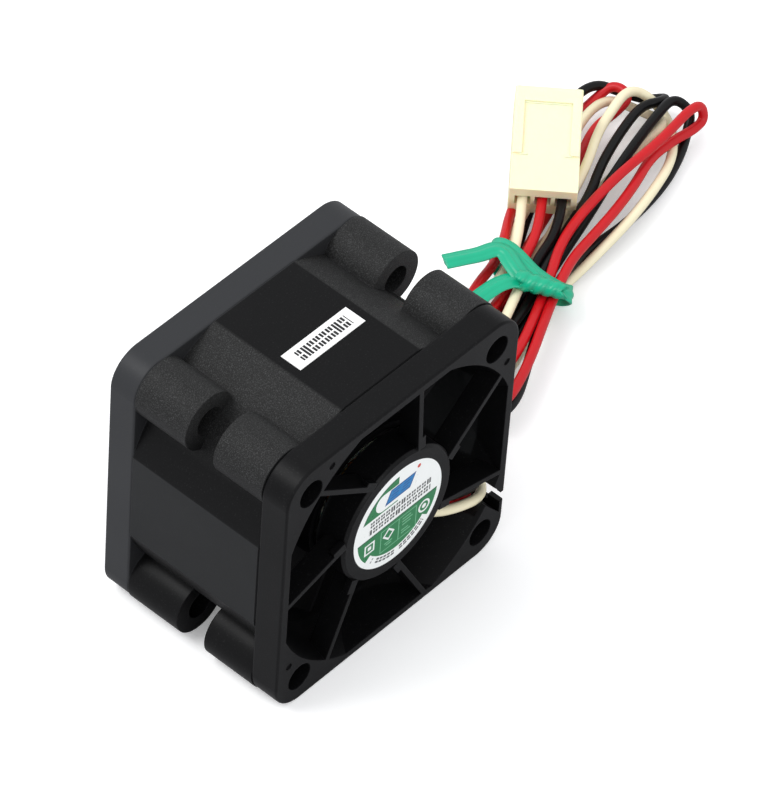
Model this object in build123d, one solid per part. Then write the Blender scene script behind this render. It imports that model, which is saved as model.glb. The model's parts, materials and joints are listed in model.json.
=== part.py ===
from build123d import *
import math
import os

# Tube-axial cooling fan with two ball bearings and a three-wire lead, in millimetres.
# The fan stands on its side: Z is up, the air leaves at -Y and enters at +Y.
# The origin is the centre of the footprint of the fan body.

# Frame moulding
body_width = 40.0
body_depth = 28.0
flange_t = 4.0
flange_corner_r = 4.3
flange_edge_r = 0.3
barrel_bulge = 1.1
duct_wall = 1.3
opening_wall = 1.2
opening_flare = 1.6
flare_depth = 6.0
hole_edge = 4.0
hole_d = 3.8
boss_d = 8.0
boss_gap = 4.4
boss_gap_y = -0.2
seam_w = 0.16
seam_depth = 0.12
seam_len = 12.6
pin_mark_d = 1.0
pin_mark_depth = 0.2
pin_mark_shares = [(0.905, 0.62), (-0.9, -0.63), (-0.63, 0.905)]

# Struts and motor base
strut_count = 7
strut_t = 0.7
strut_depth = 3.0
strut_angle = 41.8
strut_offset = 3.73
lead_strut_angle = 345.4
lead_strut_offset = 2.4
nub_len = 1.5
nub_w = 0.55
nub_depth = 0.8
base_d = 18.9
base_plate_t = 1.1
base_wall = 0.55
base_wall_h = 3.2
base_chamfer = 0.35
base_ledge_h = 0.6
base_ledge_w = 0.6
collar_wall = 0.3
collar_h = 2.6
tube_skin = 0.6

# Way out for the lead
channel_w = 2.4
channel_angle = -50.4
channel_len = 9.0
channel_inset = 2.0
channel_low = 11.1
outer_web = 0.7
slot_low = 13.1
slot_h = 1.7
slot_depth = 3.1
exit_w = 3.5
exit_low = 13.95
exit_front = 1.9
pocket_start = (13.2, -10.85)
pocket_end = (19.3, -12.5)
pocket_w = 3.1
pocket_front = 0.6
lead_clear = 0.12
base_notch_w = 5.4
base_notch_angle = -42.0
base_notch_turn = -25.5
base_notch_floor = 2.1

# Bearings, shaft and tube
shaft_d = 3.0
bearing_od = 6.0
bearing_w = 2.5
ring_t = 0.4
ball_d = 0.66
ball_count = 7
race_gap = 0.02
cage_t = 0.16
cage_w = 1.0
shield_t = 0.15
shield_gap = 0.08
tube_wall = 0.7
tube_len = 16.4
tube_shoulder = 0.4
front_bearing_inset = 0.8
rear_bearing_inset = 0.6
clip_t = 0.3
clip_d = 4.6
clip_groove = 0.3
clip_gap = 0.05
clip_mouth = 1.5
shaft_tail = 0.2
spring_wire_d = 0.28
spring_d = 3.5
spring_turns = 3.0

# Rotor
tip_gap = 0.5
hub_d = 19.8
hub_wall = 0.9
motor_room = 6.2
hub_cap_t = 1.2
hub_edge_r = 1.0
hub_len = 19.0
rotor_gap = 0.7
bush_d = 5.8
bush_len = 4.9
bush_boss_wall = 1.3
bush_boss_step = 0.5
blade_count = 5
blade_len = 16.0
blade_inset = 1.6
blade_root_t = 1.1
blade_tip_t = 0.7
blade_wrap = 62.0
blade_camber = 6.0
yoke_t = 0.5
yoke_len = 10.5
yoke_step = 0.4
yoke_window_d = 9.2
magnet_t = 1.1
magnet_len = 8.6
magnet_step = 0.3

# Stator and circuit board
air_gap = 0.4
core_len = 5.2
core_step = 2.0
core_ring_w = 1.0
pole_count = 4
neck_w = 2.2
tip_t = 0.9
tip_gap_w = 2.1
insulator_t = 0.5
neck_cover_t = 0.2
lip_t = 0.4
lip_h = 1.2
winding_t = 1.0
winding_gap = 0.05
leg_w = 1.1
leg_r = 5.2
pin_d = 0.5
board_t = 0.7
board_gap = 0.1
chip_spots = [
    ("hall_driver_ic", 135.0, 1.5, 3.0, 1.7, 1.0),
    ("chip_capacitor", 185.0, 2.3, 1.6, 0.8, 0.7),
    ("chip_resistor", 85.0, 2.2, 1.6, 0.8, 0.5),
]

# Labels
label_d = 15.3
label_t = 0.12
sticker_len = 11.1
sticker_w = 3.1
sticker_t = 0.1
sticker_y = -0.9

# Lead, hank, tie and connector
wire_d = 1.3
conductor_d = 0.7
solder_d = 1.6
solder_h = 0.6
solder_inset = 0.35
solder_rim = 1.75
solder_angles = {"cream": -61.8, "red": -46.6, "black": -33.8}
cream_route = [
    (3.5, -10.75, 13.9),
    (8.0, -11.15, 11.7),
    (12.4, -12.1, 9.3),
    (19.1, -12.5, 7.4),
    (21.8, -5.6, 7.1),
    (25.6, -1.3, 3.2),
    (30.97, 1.9, 1.9),
]
black_route = [
    (5.8, -10.75, 16.1),
    (9.0, -10.45, 13.8),
    (12.8, -11.0, 10.2),
    (19.5, -11.45, 8.65),
    (21.5, -4.7, 8.7),
    (24.9, 0.2, 4.9),
    (30.52, 3.28, 3.2),
]
red_route = [
    (4.9, -10.75, 14.95),
    (8.5, -9.9, 12.7),
    (12.3, -10.65, 8.9),
    (17.8, -11.05, 6.85),
    (20.4, -4.9, 6.3),
    (24.2, 1.5, 3.2),
    (30.08, 4.66, 1.9),
]
hank_x = 52.6
hank_y = 10.4
hank_turn = 18.0
hank_h = 5.2
hank_waist_w = 9.4
hank_waist_h = 4.3
hank_outline = [(-24.9, -4.0), (-20.5, -6.6), (-3.0, -4.9), (3.0, -4.9), (14.0, -7.4), (26.0, -8.6),
                (36.5, -8.2), (38.9, -4.5), (37.0, 4.0), (33.0, 7.4), (24.0, 7.6), (12.0, 6.0),
                (3.0, 4.9), (-3.0, 4.9), (-18.0, 6.0), (-24.9, 4.6)]
hank_corner_r = 1.2
tie_w = 2.8
tie_t = 0.45
tie_groove = 0.2
knot_d = 2.6
knot_len = 6.6
knot_x = -1.2
knot_y = 0.3
knot_gap = 0.1
long_tail = [(-1.2, 1.6), (-1.0, 4.0), (-5.9, 8.6)]
short_tail = [(-1.6, 0.4), (-4.6, 1.4), (-7.7, 3.5)]
plug_len = 14.8
plug_w = 8.6
plug_h = 6.2
plug_x = 61.98
plug_y = 16.5
plug_z = 5.75
plug_turn = 39.3
plug_tilt = 15.5
plug_edge_r = 0.35
plug_rail_h = 0.35
plug_rail_w = 1.25
plug_rail_len = 9.7
plug_top_band = 2.1
plug_clear = 0.15
way_pitch = 2.54
way_w = 2.0
terminal_gap = 0.05
terminal_len = 10.4
terminal_inset = 1.2
socket_w = 0.9
tail_in = 3.2
tail_out = 3.4
tail_gather = 0.56
tail_side = 1.5
tail_dip = 0.1
tray_len = 10.4
tray_low = -2.4
tray_high = 8.0

# Places worked out from the sizes above
half = body_width / 2
outlet_y = -body_depth / 2
inlet_y = body_depth / 2
axis_z = half
barrel_r = half + barrel_bulge
duct_r = half - duct_wall
opening_flat = half - opening_wall
opening_r = duct_r + opening_flare
boss_r = boss_d / 2
hole_r = hole_d / 2
hole_pitch = body_width - 2 * hole_edge
hole_c = hole_pitch / 2
pin_mark_spots = [(x * half, z * half) for x, z in pin_mark_shares]
base_r = base_d / 2
plate_y = outlet_y + base_plate_t
wall_y = plate_y + base_wall_h
tube_y = outlet_y + tube_skin
tube_end = tube_y + tube_len
bearing_r = bearing_od / 2
shaft_r = shaft_d / 2
tube_r = bearing_r + tube_wall
front_bearing_y = tube_y + front_bearing_inset
rear_bearing_y = tube_end - rear_bearing_inset - bearing_w
inner_ring_r = shaft_r + ring_t
outer_ring_r = bearing_r - ring_t
pitch_r = (inner_ring_r + outer_ring_r) / 2
ball_r = (outer_ring_r - inner_ring_r) / 2 - race_gap
ball_r = min(ball_r, ball_d / 2)
hub_r = hub_d / 2
hub_y = wall_y + rotor_gap
hub_end = hub_y + hub_len
cap_y = hub_end - hub_cap_t
bush_y = cap_y - bush_len
tip_r = duct_r - tip_gap
blade_y = hub_end - blade_inset - blade_len / 2
room_share = (hub_r - tube_r) / motor_room
rotor_wall = hub_wall * room_share
yoke_wall = yoke_t * room_share
magnet_wall = magnet_t * room_share
tip_wall = tip_t * room_share
yoke_r = hub_r - rotor_wall
yoke_y = hub_y + yoke_step
yoke_end = yoke_y + yoke_len
magnet_r = yoke_r - yoke_wall
magnet_in_r = magnet_r - magnet_wall
magnet_y = yoke_y + magnet_step
core_r = magnet_in_r - air_gap * room_share
core_y = magnet_y + core_step
core_end = core_y + core_len
core_mid = (core_y + core_end) / 2
core_ring_r = tube_r + core_ring_w * room_share
neck_end = core_r - tip_wall
board_y = plate_y + base_ledge_h
board_top = board_y + board_t
collar_r = tube_r + collar_wall
board_r = base_r - base_wall - board_gap
wire_r = wire_d / 2
motor_axis = Axis((0, 0, axis_z), (0, 1, 0))
hank_spot = Location((hank_x, hank_y, 0), (0, 0, hank_turn))
plug_spot = Location((plug_x, plug_y, plug_z)) * Location((0, 0, 0), (0, 0, plug_turn))
plug_spot = plug_spot * Location((0, 0, 0), (0, -plug_tilt, 0))

nodes = {}


def face(y):
    """A drawing plane across the motor axis: its X is the fan's X and its Y is up."""
    return Plane(origin=(0, y, axis_z), x_dir=(1, 0, 0), z_dir=(0, -1, 0))


def along(sketch, y_low, y_high):
    """A sketch drawn about the motor axis, made solid between two places along it."""
    return extrude(face(y_high) * sketch, amount=y_high - y_low)


def disc(r, y_low, y_high):
    return along(Circle(r), y_low, y_high)


def ring(r_out, r_in, y_low, y_high):
    return along(Circle(r_out) - Circle(r_in), y_low, y_high)


def block(x, y, z):
    """A box between low and high values along X, Y and Z."""
    size = (x[1] - x[0], y[1] - y[0], z[1] - z[0])
    middle = ((x[0] + x[1]) / 2, (y[0] + y[1]) / 2, (z[0] + z[1]) / 2)
    return Pos(*middle) * Box(*size)


def spin(shape, degrees):
    return shape.rotate(motor_axis, degrees)


def polar(r, degrees):
    return (r * math.cos(math.radians(degrees)), r * math.sin(math.radians(degrees)))


def corner_spots(distance):
    return [(sx * distance, sz * distance) for sx in (1, -1) for sz in (1, -1)]


# Frame

def flange(y_low, y_high):
    plate = along(RectangleRounded(body_width, body_width, flange_corner_r), y_low, y_high)
    rims = plate.edges().filter_by_position(Axis.Y, y_low, y_low) + plate.edges().filter_by_position(
        Axis.Y, y_high, y_high)
    return fillet(rims, flange_edge_r)


def barrel():
    outline = Circle(barrel_r) & Rectangle(body_width, body_width)
    return along(outline, outlet_y + flange_t, inlet_y - flange_t)


def bosses():
    gap_low = boss_gap_y - boss_gap / 2
    gap_high = boss_gap_y + boss_gap / 2
    shape = Sketch() + [Pos(*spot) * Circle(boss_r) for spot in corner_spots(hole_c)]
    return [along(shape, outlet_y + flange_t, gap_low), along(shape, gap_high, inlet_y - flange_t)]


def flare(y_open, outward):
    """The mouth of the duct: it widens into the corners and is cut flat by the square body."""
    low = min(y_open, y_open - outward * flare_depth)
    high = max(y_open, y_open - outward * flare_depth)
    r_high, r_low = (opening_r, duct_r) if outward > 0 else (duct_r, opening_r)
    cone = face(high) * Cone(r_high, r_low, flare_depth, align=(Align.CENTER, Align.CENTER, Align.MIN))
    return cone & along(Rectangle(2 * opening_flat, 2 * opening_flat), low, high)


def strut_line(angle, offset, r_from, r_to):
    """Start and end of a strut that passes the motor axis at a distance."""
    dx, dz = polar(1, angle)
    foot = (offset * dz, -offset * dx)
    t_from = math.sqrt(r_from ** 2 - offset ** 2)
    t_to = math.sqrt(r_to ** 2 - offset ** 2)
    start = (foot[0] + t_from * dx, foot[1] + t_from * dz)
    end = (foot[0] + t_to * dx, foot[1] + t_to * dz)
    return start, end


def bar(start, end, width):
    """A flat bar between two points of the face."""
    length = math.dist(start, end)
    angle = math.degrees(math.atan2(end[1] - start[1], end[0] - start[0]))
    middle = ((start[0] + end[0]) / 2, (start[1] + end[1]) / 2)
    return Pos(*middle) * Rot(0, 0, angle) * Rectangle(length, width)


def strut_places():
    step = 360 / strut_count
    places = [(strut_angle + step * k, strut_offset) for k in range(strut_count - 1)]
    return places + [(lead_strut_angle, lead_strut_offset)]


def struts():
    inside = (Circle(opening_r + opening_wall / 4) & Rectangle(2 * opening_flat + opening_wall / 2,
                                                                2 * opening_flat + opening_wall / 2))
    bars = []
    for angle, offset in strut_places():
        start, end = strut_line(angle, offset, base_r - base_wall / 2, opening_r + opening_wall)
        bars.append(along(bar(start, end, strut_t) & inside, outlet_y, outlet_y + strut_depth))
        root, out = strut_line(angle, offset, base_r - base_wall / 2, base_r + nub_len)
        dx, dz = polar((strut_t + nub_w) / 2, angle - 90)
        nub = bar((root[0] + dx, root[1] + dz), (out[0] + dx, out[1] + dz), nub_w)
        bars.append(along(nub, outlet_y, outlet_y + nub_depth))
    return bars


def motor_base():
    """The cup that carries the motor, with its label recess and bearing collar."""
    cup = disc(base_r, outlet_y, wall_y)
    rim = cup.edges().filter_by_position(Axis.Y, outlet_y, outlet_y)
    cup = chamfer(rim, base_chamfer)
    inner_r = base_r - base_wall
    cup -= disc(inner_r, plate_y, wall_y)
    cup += ring(inner_r, inner_r - base_ledge_w, plate_y, board_y)
    cup += ring(collar_r, tube_r, plate_y, plate_y + collar_h)
    cup -= disc(tube_r, tube_y, plate_y)
    cup -= disc(label_d / 2, outlet_y, outlet_y + label_t)
    return cup


def lead_ways():
    """Cuts that let the three wires out of the base, past the flange and through the side."""
    web_x = half - outer_web
    channel = Pos(web_x - channel_inset + 0.4, -channel_low) * Rot(0, 0, channel_angle)
    channel = channel * Rectangle(channel_len, channel_w)
    channel = channel & Pos(web_x - body_width / 2, 0) * Rectangle(body_width, body_width)
    back = outlet_y + flange_t + 0.1
    cuts = [along(channel, outlet_y, back)]
    slot_z = axis_z - slot_low
    cuts.append(block((web_x - 0.1, half + 1), (outlet_y, outlet_y + slot_depth), (slot_z, slot_z + slot_h)))
    low = axis_z - exit_low
    cuts.append(block((duct_r - 1, half + 1), (outlet_y + exit_front, back), (low, low + exit_w)))
    pocket = bar(pocket_start, pocket_end, pocket_w)
    cuts.append(along(pocket, outlet_y + pocket_front, back))
    x, z = polar(base_r, base_notch_angle)
    notch = Pos(x, z) * Rot(0, 0, base_notch_turn) * Rectangle(4, base_notch_w)
    cuts.append(along(notch, outlet_y + base_notch_floor, wall_y))
    return cuts


def seams():
    """Fine broken parting line where the front flange crosses the flat panels."""
    y = outlet_y + flange_t
    span = seam_len / 2
    across = (y - seam_w / 2, y + seam_w / 2)
    top = block((-span, span), across, (2 * half - seam_depth, 2 * half + 1))
    left = block((-half - 1, -half + seam_depth), across, (axis_z - span, axis_z + span))
    return [top, left]


def bend_radii(points):
    """Each corner gets 0.45 of its shorter run over the tangent of half its turn."""
    radii = []
    for before, at, after in zip(points, points[1:], points[2:]):
        run_in = Vector(*at) - Vector(*before)
        run_out = Vector(*after) - Vector(*at)
        turn = math.radians(run_in.get_angle(run_out))
        radii.append(0.45 * min(run_in.length, run_out.length) / math.tan(turn / 2))
    return radii


def wire_line(points):
    return FilletPolyline(*points, radius=bend_radii(points))


def wire_sweep(path, r):
    return sweep(Plane(origin=path @ 0, z_dir=path % 0) * Circle(r), path=path)


frame = flange(outlet_y, outlet_y + flange_t) + flange(inlet_y - flange_t, inlet_y) + barrel() + bosses()
frame -= disc(duct_r, outlet_y, inlet_y)
frame -= flare(outlet_y, -1)
frame -= flare(inlet_y, 1)
holes = Sketch() + [Pos(*spot) * Circle(hole_r) for spot in corner_spots(hole_c)]
frame -= along(holes, outlet_y, inlet_y)
frame += [motor_base(), *struts()]
frame -= lead_ways()
for route in (cream_route, black_route, red_route):
    frame -= wire_sweep(wire_line(route), wire_r + lead_clear)
frame -= seams()
marks = Sketch() + [Pos(*spot) * Circle(pin_mark_d / 2) for spot in pin_mark_spots]
frame -= along(marks, outlet_y, outlet_y + pin_mark_depth)
nodes["frame_housing"] = frame

# Bearings and tube
tube = ring(tube_r, bearing_r, tube_y, tube_end)
tube += ring(bearing_r, bearing_r - tube_shoulder, front_bearing_y + bearing_w, rear_bearing_y)
nodes["bearing_tube"] = tube


def bearing(name, y):
    """A shielded ball bearing: two rings, the balls in their cage, and two shields."""
    middle = y + bearing_w / 2
    nodes[name + "_outer_ring"] = ring(bearing_r, outer_ring_r, y, y + bearing_w)
    nodes[name + "_inner_ring"] = ring(inner_ring_r, shaft_r, y, y + bearing_w)
    x, z = polar(pitch_r, 0)
    ball = Pos(x, middle, axis_z) * Sphere(ball_r)
    balls = [spin(ball, 360 / ball_count * k) for k in range(ball_count)]
    nodes[name + "_balls"] = Compound(children=balls)
    cage = ring(pitch_r + cage_t / 2, pitch_r - cage_t / 2, middle - cage_w / 2, middle + cage_w / 2)
    pocket = Pos(pitch_r, middle, axis_z) * Rot(0, 90, 0) * Cylinder(ball_r + race_gap, 4 * cage_t)
    for k in range(ball_count):
        cage -= spin(pocket, 360 / ball_count * k)
    nodes[name + "_cage"] = cage
    hole = inner_ring_r + shield_gap
    front = ring(outer_ring_r, hole, y, y + shield_t)
    rear = ring(outer_ring_r, hole, y + bearing_w - shield_t, y + bearing_w)
    nodes[name + "_shields"] = Compound(children=[front, rear])


bearing("front_bearing", front_bearing_y)
bearing("rear_bearing", rear_bearing_y)

# Shaft with its clip and spring
shaft_y = tube_y + shaft_tail
clip_y = front_bearing_y - clip_gap - clip_t
shaft = disc(shaft_r, shaft_y, cap_y)
shaft -= ring(shaft_r, shaft_r - clip_groove, clip_y, clip_y + clip_t)
nodes["shaft"] = shaft
clip = ring(clip_d / 2, shaft_r - clip_groove, clip_y, clip_y + clip_t)
clip -= block((0, clip_d), (clip_y, clip_y + clip_t), (axis_z - clip_mouth / 2, axis_z + clip_mouth / 2))
nodes["retaining_clip"] = clip

spring_low = rear_bearing_y + bearing_w + spring_wire_d / 2
spring_high = bush_y - spring_wire_d / 2
spring_h = spring_high - spring_low
coil_line = Helix(pitch=spring_h / spring_turns, height=spring_h, radius=spring_d / 2)
coil_start = Plane(origin=coil_line @ 0, z_dir=coil_line % 0)
spring = sweep(coil_start * Circle(spring_wire_d / 2 - 0.01), path=coil_line)
spring_place = Plane(origin=(0, spring_low, axis_z), x_dir=(1, 0, 0), z_dir=(0, 1, 0))
nodes["preload_spring"] = spring_place.location * spring

# Rotor
nodes["shaft_bush"] = ring(bush_d / 2, shaft_r, bush_y, cap_y)


def blade_section(x):
    """The blade cut by a plane at a distance from the motor axis, with radial sides."""
    share = (x - hub_r) / (tip_r - hub_r)
    thick = blade_root_t + (blade_tip_t - blade_root_t) * share
    upper = []
    lower = []
    for k in range(-2, 3):
        a = k / 2
        turn = blade_wrap / 2 * a + blade_camber * (a * a - 1)
        slope = (blade_wrap / 2 + 2 * blade_camber * a) / (blade_len / 2)
        rise = x * math.radians(slope) / math.cos(math.radians(turn)) ** 2
        edge = thick / 2 * (1 - 0.45 * a * a) * math.sqrt(1 + rise * rise)
        side = -x * math.tan(math.radians(turn))
        upper.append((a * blade_len / 2, side + edge))
        lower.append((a * blade_len / 2, side - edge))
    place = Plane(origin=(x, blade_y, axis_z), x_dir=(0, 1, 0), z_dir=(1, 0, 0))
    outline = [Spline(*upper), Line(upper[-1], lower[-1]), Spline(*lower[::-1]), Line(lower[0], upper[0])]
    return place * make_face(Wire(outline))


def impeller():
    hub = disc(hub_r, hub_y, hub_end)
    edge = hub.edges().filter_by_position(Axis.Y, hub_end, hub_end)
    hub = fillet(edge, hub_edge_r)
    hub -= disc(yoke_r, hub_y, yoke_end)
    hub -= disc(yoke_r - rotor_wall, yoke_end, cap_y)
    hub += ring(bush_d / 2 + bush_boss_wall, bush_d / 2, bush_y + bush_boss_step, cap_y)
    blade = loft([blade_section(hub_r * 0.55), blade_section(tip_r + 1.3)], ruled=True)
    reach = blade_len / 2 + 1
    blade = blade & ring(tip_r, hub_r - rotor_wall / 2, blade_y - reach, blade_y + reach)
    return hub + [spin(blade, 360 / blade_count * k) for k in range(blade_count)]


nodes["impeller"] = impeller()
yoke = ring(yoke_r, magnet_r, yoke_y, yoke_end)
yoke += ring(magnet_r, yoke_window_d / 2 * room_share, yoke_end - yoke_t, yoke_end)
nodes["rotor_yoke"] = yoke
nodes["magnet_ring"] = ring(magnet_r, magnet_in_r, magnet_y, magnet_y + magnet_len)

# Stator
pole_step = 360 / pole_count
neck = Pos((core_ring_r + neck_end) / 2, 0) * Rectangle(neck_end - core_ring_r + 0.6, neck_w)
slot = Pos(core_r, 0) * Rectangle(2 * tip_wall + 1, tip_gap_w)
core_shape = Circle(core_ring_r) + [Rot(0, 0, pole_step * k) * neck for k in range(pole_count)]
core_shape += Circle(core_r) - Circle(neck_end)
core_shape -= [Rot(0, 0, pole_step * (k + 0.5)) * slot for k in range(pole_count)]
core_shape -= Circle(tube_r)
nodes["stator_core"] = along(core_shape, core_y, core_end)
cover_w = neck_w + 2 * neck_cover_t


def insulator(core_face, outward):
    """A plastic cap on one end of the laminations, with a lip that holds each coil."""
    out_y = core_face + outward * insulator_t
    lip_y = core_face + outward * (insulator_t + lip_h)
    low, high = sorted((core_face, out_y))
    cap = ring(core_ring_r, tube_r, low, high)
    low_c, high_c = sorted((core_mid, out_y))
    low_l, high_l = sorted((core_face, lip_y))
    arm_r = (tube_r + core_ring_r) / 2
    for k in range(pole_count):
        arm = block((arm_r, neck_end), (low_c, high_c), (axis_z - cover_w / 2, axis_z + cover_w / 2))
        lip = block((neck_end, neck_end + lip_t), (low_l, high_l), (axis_z - cover_w, axis_z + cover_w))
        cap += [spin(arm, pole_step * k), spin(lip, pole_step * k)]
    return cap - nodes["stator_core"]


front_cap = insulator(core_y, -1)
leg_out = Pos(leg_r, 0) * Rectangle(leg_w, leg_w)
leg_web = Pos((leg_r + core_ring_r) / 2, 0) * Rectangle(leg_r - core_ring_r + leg_w, leg_w)
legs = [Rot(0, 0, pole_step * (k + 0.5)) * leg_out for k in range(pole_count)]
webs = [Rot(0, 0, pole_step * (k + 0.5)) * leg_web for k in range(pole_count)]
front_cap += along(Sketch() + legs, board_top, core_y)
front_cap += along((Sketch() + webs) - Circle(tube_r), core_y - insulator_t, core_y)
nodes["stator_insulator_front"] = front_cap
nodes["stator_insulator_rear"] = insulator(core_end, 1)

inner_len = core_len + 2 * insulator_t
winding_place = Plane(origin=(core_ring_r, core_mid, axis_z), x_dir=(0, 1, 0), z_dir=(1, 0, 0))
winding_shape = RectangleRounded(inner_len + 2 * winding_t, cover_w + 2 * winding_t, winding_t)
winding_shape -= Rectangle(inner_len, cover_w)
winding = extrude(winding_place * winding_shape, amount=neck_end - core_ring_r)
winding &= disc(neck_end - winding_gap, core_y - body_depth, core_end + body_depth)
for k in range(pole_count):
    nodes[f"coil_{k + 1}"] = spin(winding, pole_step * k)

# Circuit board
board = ring(board_r, collar_r + board_gap, board_y, board_top)
pin_spots = [polar(leg_r, pole_step * (k + 0.5)) for k in range(pole_count)]
pin_shape = Sketch() + [Pos(*spot) * Circle(pin_d / 2) for spot in pin_spots]
board -= along(pin_shape, board_y, board_top)
nodes["circuit_board"] = board
pins = [along(Pos(*spot) * Circle(pin_d / 2), board_y - 0.4, board_top) for spot in pin_spots]
nodes["winding_pins"] = Compound(children=pins)
for name, angle, inset, length, width, height in chip_spots:
    spot = Pos(*polar(board_r - inset, angle)) * Rot(0, 0, angle + 90) * Rectangle(length, width)
    nodes[name] = along(spot, board_top, board_top + height)

# Labels
nodes["hub_label"] = disc(label_d / 2, outlet_y, outlet_y + label_t)
sticker = block((-sticker_len / 2, sticker_len / 2), (sticker_y - sticker_w / 2, sticker_y + sticker_w / 2),
                (2 * half, 2 * half + sticker_t))
nodes["side_sticker"] = sticker


# Lead: one wire is a tube of straight runs and tangent arcs

def wire_tube(name, points):
    path = wire_line(points)
    tube = wire_sweep(path, wire_r)
    share = tube.volume / (math.pi * wire_r ** 2 * path.length)
    radii = [round(r, 1) for r in bend_radii(points)]
    print(name, "length", round(path.length, 1), "radii", radii, "volume share", round(share, 3))
    return tube


nodes["lead_cream"] = wire_tube("lead_cream", cream_route)
nodes["lead_black"] = wire_tube("lead_black", black_route)
nodes["lead_red"] = wire_tube("lead_red", red_route)
solder = []
for color, angle in solder_angles.items():
    pad = Pos(*polar(board_r - solder_rim - solder_inset, angle)) * Circle(solder_d / 2)
    solder.append(along(pad, board_top, board_top + solder_h) - nodes["lead_" + color])
nodes["solder_joints"] = Compound(children=solder)

# Connector: its own X runs from the wire end to the mating end, its Z is out of the broad face
ways = [-way_pitch, 0, way_pitch]


def plug_housing():
    shell = Pos(plug_len / 2, 0, 0) * Box(plug_len, plug_w, plug_h)
    shell = fillet(shell.edges().filter_by(Axis.X), plug_edge_r)
    top = plug_h / 2
    panel_w = plug_w - 2 * plug_rail_w
    panel_from = plug_len - plug_rail_len
    panel_to = plug_len - plug_top_band
    panel = block((panel_from, panel_to), (-panel_w / 2, panel_w / 2), (top - plug_rail_h, top + 1))
    lower = block((-1, panel_from), (-plug_w, plug_w), (top - plug_rail_h, top + 1))
    shell -= [panel, lower]
    for y in ways:
        shell -= block((-1, plug_len + 1), (y - way_w / 2, y + way_w / 2), (-way_w / 2, way_w / 2))
    return shell


nodes["connector_housing"] = plug_spot * plug_housing()


def terminal(y):
    """A crimped socket that fills its way, with a barrel that grips the wire."""
    w = way_w / 2 - terminal_gap
    end = plug_len - terminal_inset
    start = end - terminal_len
    body = block((start, end), (y - w, y + w), (-w, w))
    body -= block((tail_in + 0.6, end), (y - socket_w / 2, y + socket_w / 2), (-socket_w / 2, socket_w / 2))
    reach = Plane(origin=(0, y, 0), z_dir=(1, 0, 0))
    return body - extrude(reach * Circle(wire_r), amount=tail_in)


groove_len = tie_w + 2 * tie_groove
tail_z = tie_t + hank_waist_h - wire_r - tail_dip


def tail_route(y):
    """From inside the terminal, straight out of the connector, then under the tie."""
    points = [plug_spot * Location((tail_in, y, 0)), plug_spot * Location((-tail_out, y, 0))]
    points.append(hank_spot * Location((groove_len / 2, tail_side + y * tail_gather, tail_z)))
    return [tuple(point.position) for point in points]


for name, y in zip(("black", "red", "cream"), ways):
    nodes["terminal_" + name] = plug_spot * terminal(y)
    nodes["tail_" + name] = wire_tube("tail_" + name, tail_route(y))

# Hank of folded wire, with a groove where the tie holds it
waist = Rectangle(hank_waist_w, hank_waist_h)
waist_place = Plane(origin=(-tie_w / 2 - tie_groove, 0, tie_t + hank_waist_h / 2), x_dir=(0, 1, 0), z_dir=(1, 0, 0))
hank_plan = make_face(Polyline(*hank_outline, close=True))
hank_plan = fillet(hank_plan.vertices(), hank_corner_r)
hank = extrude(hank_plan, amount=hank_h)
groove = block((-groove_len / 2, groove_len / 2), (-hank_waist_w, hank_waist_w), (-1, hank_h + 1))
groove -= extrude(waist_place * waist, amount=groove_len)
hank = hank_spot * (hank - groove)
clear_box = Pos(plug_len / 2 + plug_len / 2, 0, plug_h) * Box(
    2 * plug_len + 2 * plug_clear, plug_w + 2 * plug_clear, 3 * plug_h + 2 * plug_clear)
hank -= plug_spot * clear_box
tray = block((groove_len / 2, groove_len / 2 + tray_len), (tray_low, tray_high), (tail_z - wire_r, hank_h + 1))
hank -= hank_spot * tray
nodes["lead_hank"] = hank
for name in ("lead_cream", "lead_black", "lead_red", "tail_black", "tail_red", "tail_cream"):
    nodes[name] = nodes[name] - hank


def tail_strip(points):
    """A flat end of the tie, drawn in plan."""
    strips = [bar(a, b, tie_w) for a, b in zip(points, points[1:])]
    joints = [Pos(*p) * Circle(tie_w / 2) for p in points[1:-1]]
    return Sketch() + strips + joints


tie_place = Plane(origin=(-tie_w / 2, 0, tie_t + hank_waist_h / 2), x_dir=(0, 1, 0), z_dir=(1, 0, 0))
band = RectangleRounded(hank_waist_w + 2 * tie_t, hank_waist_h + 2 * tie_t, tie_t * 0.9) - waist
tie = extrude(tie_place * band, amount=tie_w)
knot_z = max(hank_h, 2 * tie_t + hank_waist_h) + knot_gap + knot_d / 2
tie += Pos(knot_x, knot_y, knot_z) * Rot(90, 0, 0) * Cylinder(knot_d / 2, knot_len)
tie += block((-tie_w / 2, 0), (-tie_w / 2, tie_w / 2), (tie_t * 1.5 + hank_waist_h, knot_z))
for tail in (long_tail, short_tail):
    tie += Pos(0, 0, knot_z - tie_t / 2) * extrude(tail_strip(tail), amount=tie_t)
nodes["twist_tie"] = hank_spot * tie

os.makedirs("parts", exist_ok=True)
for name, shape in nodes.items():
    solids = shape.solids()
    whole = solids[0] if len(solids) == 1 else Compound(children=list(solids))
    export_step(whole, f"parts/{name}.step")
print(len(nodes), "nodes")
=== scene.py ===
import json
import logging
import math
from dataclasses import dataclass, field
from enum import Enum

import bmesh
import bpy
from mathutils import Matrix, Vector

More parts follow.
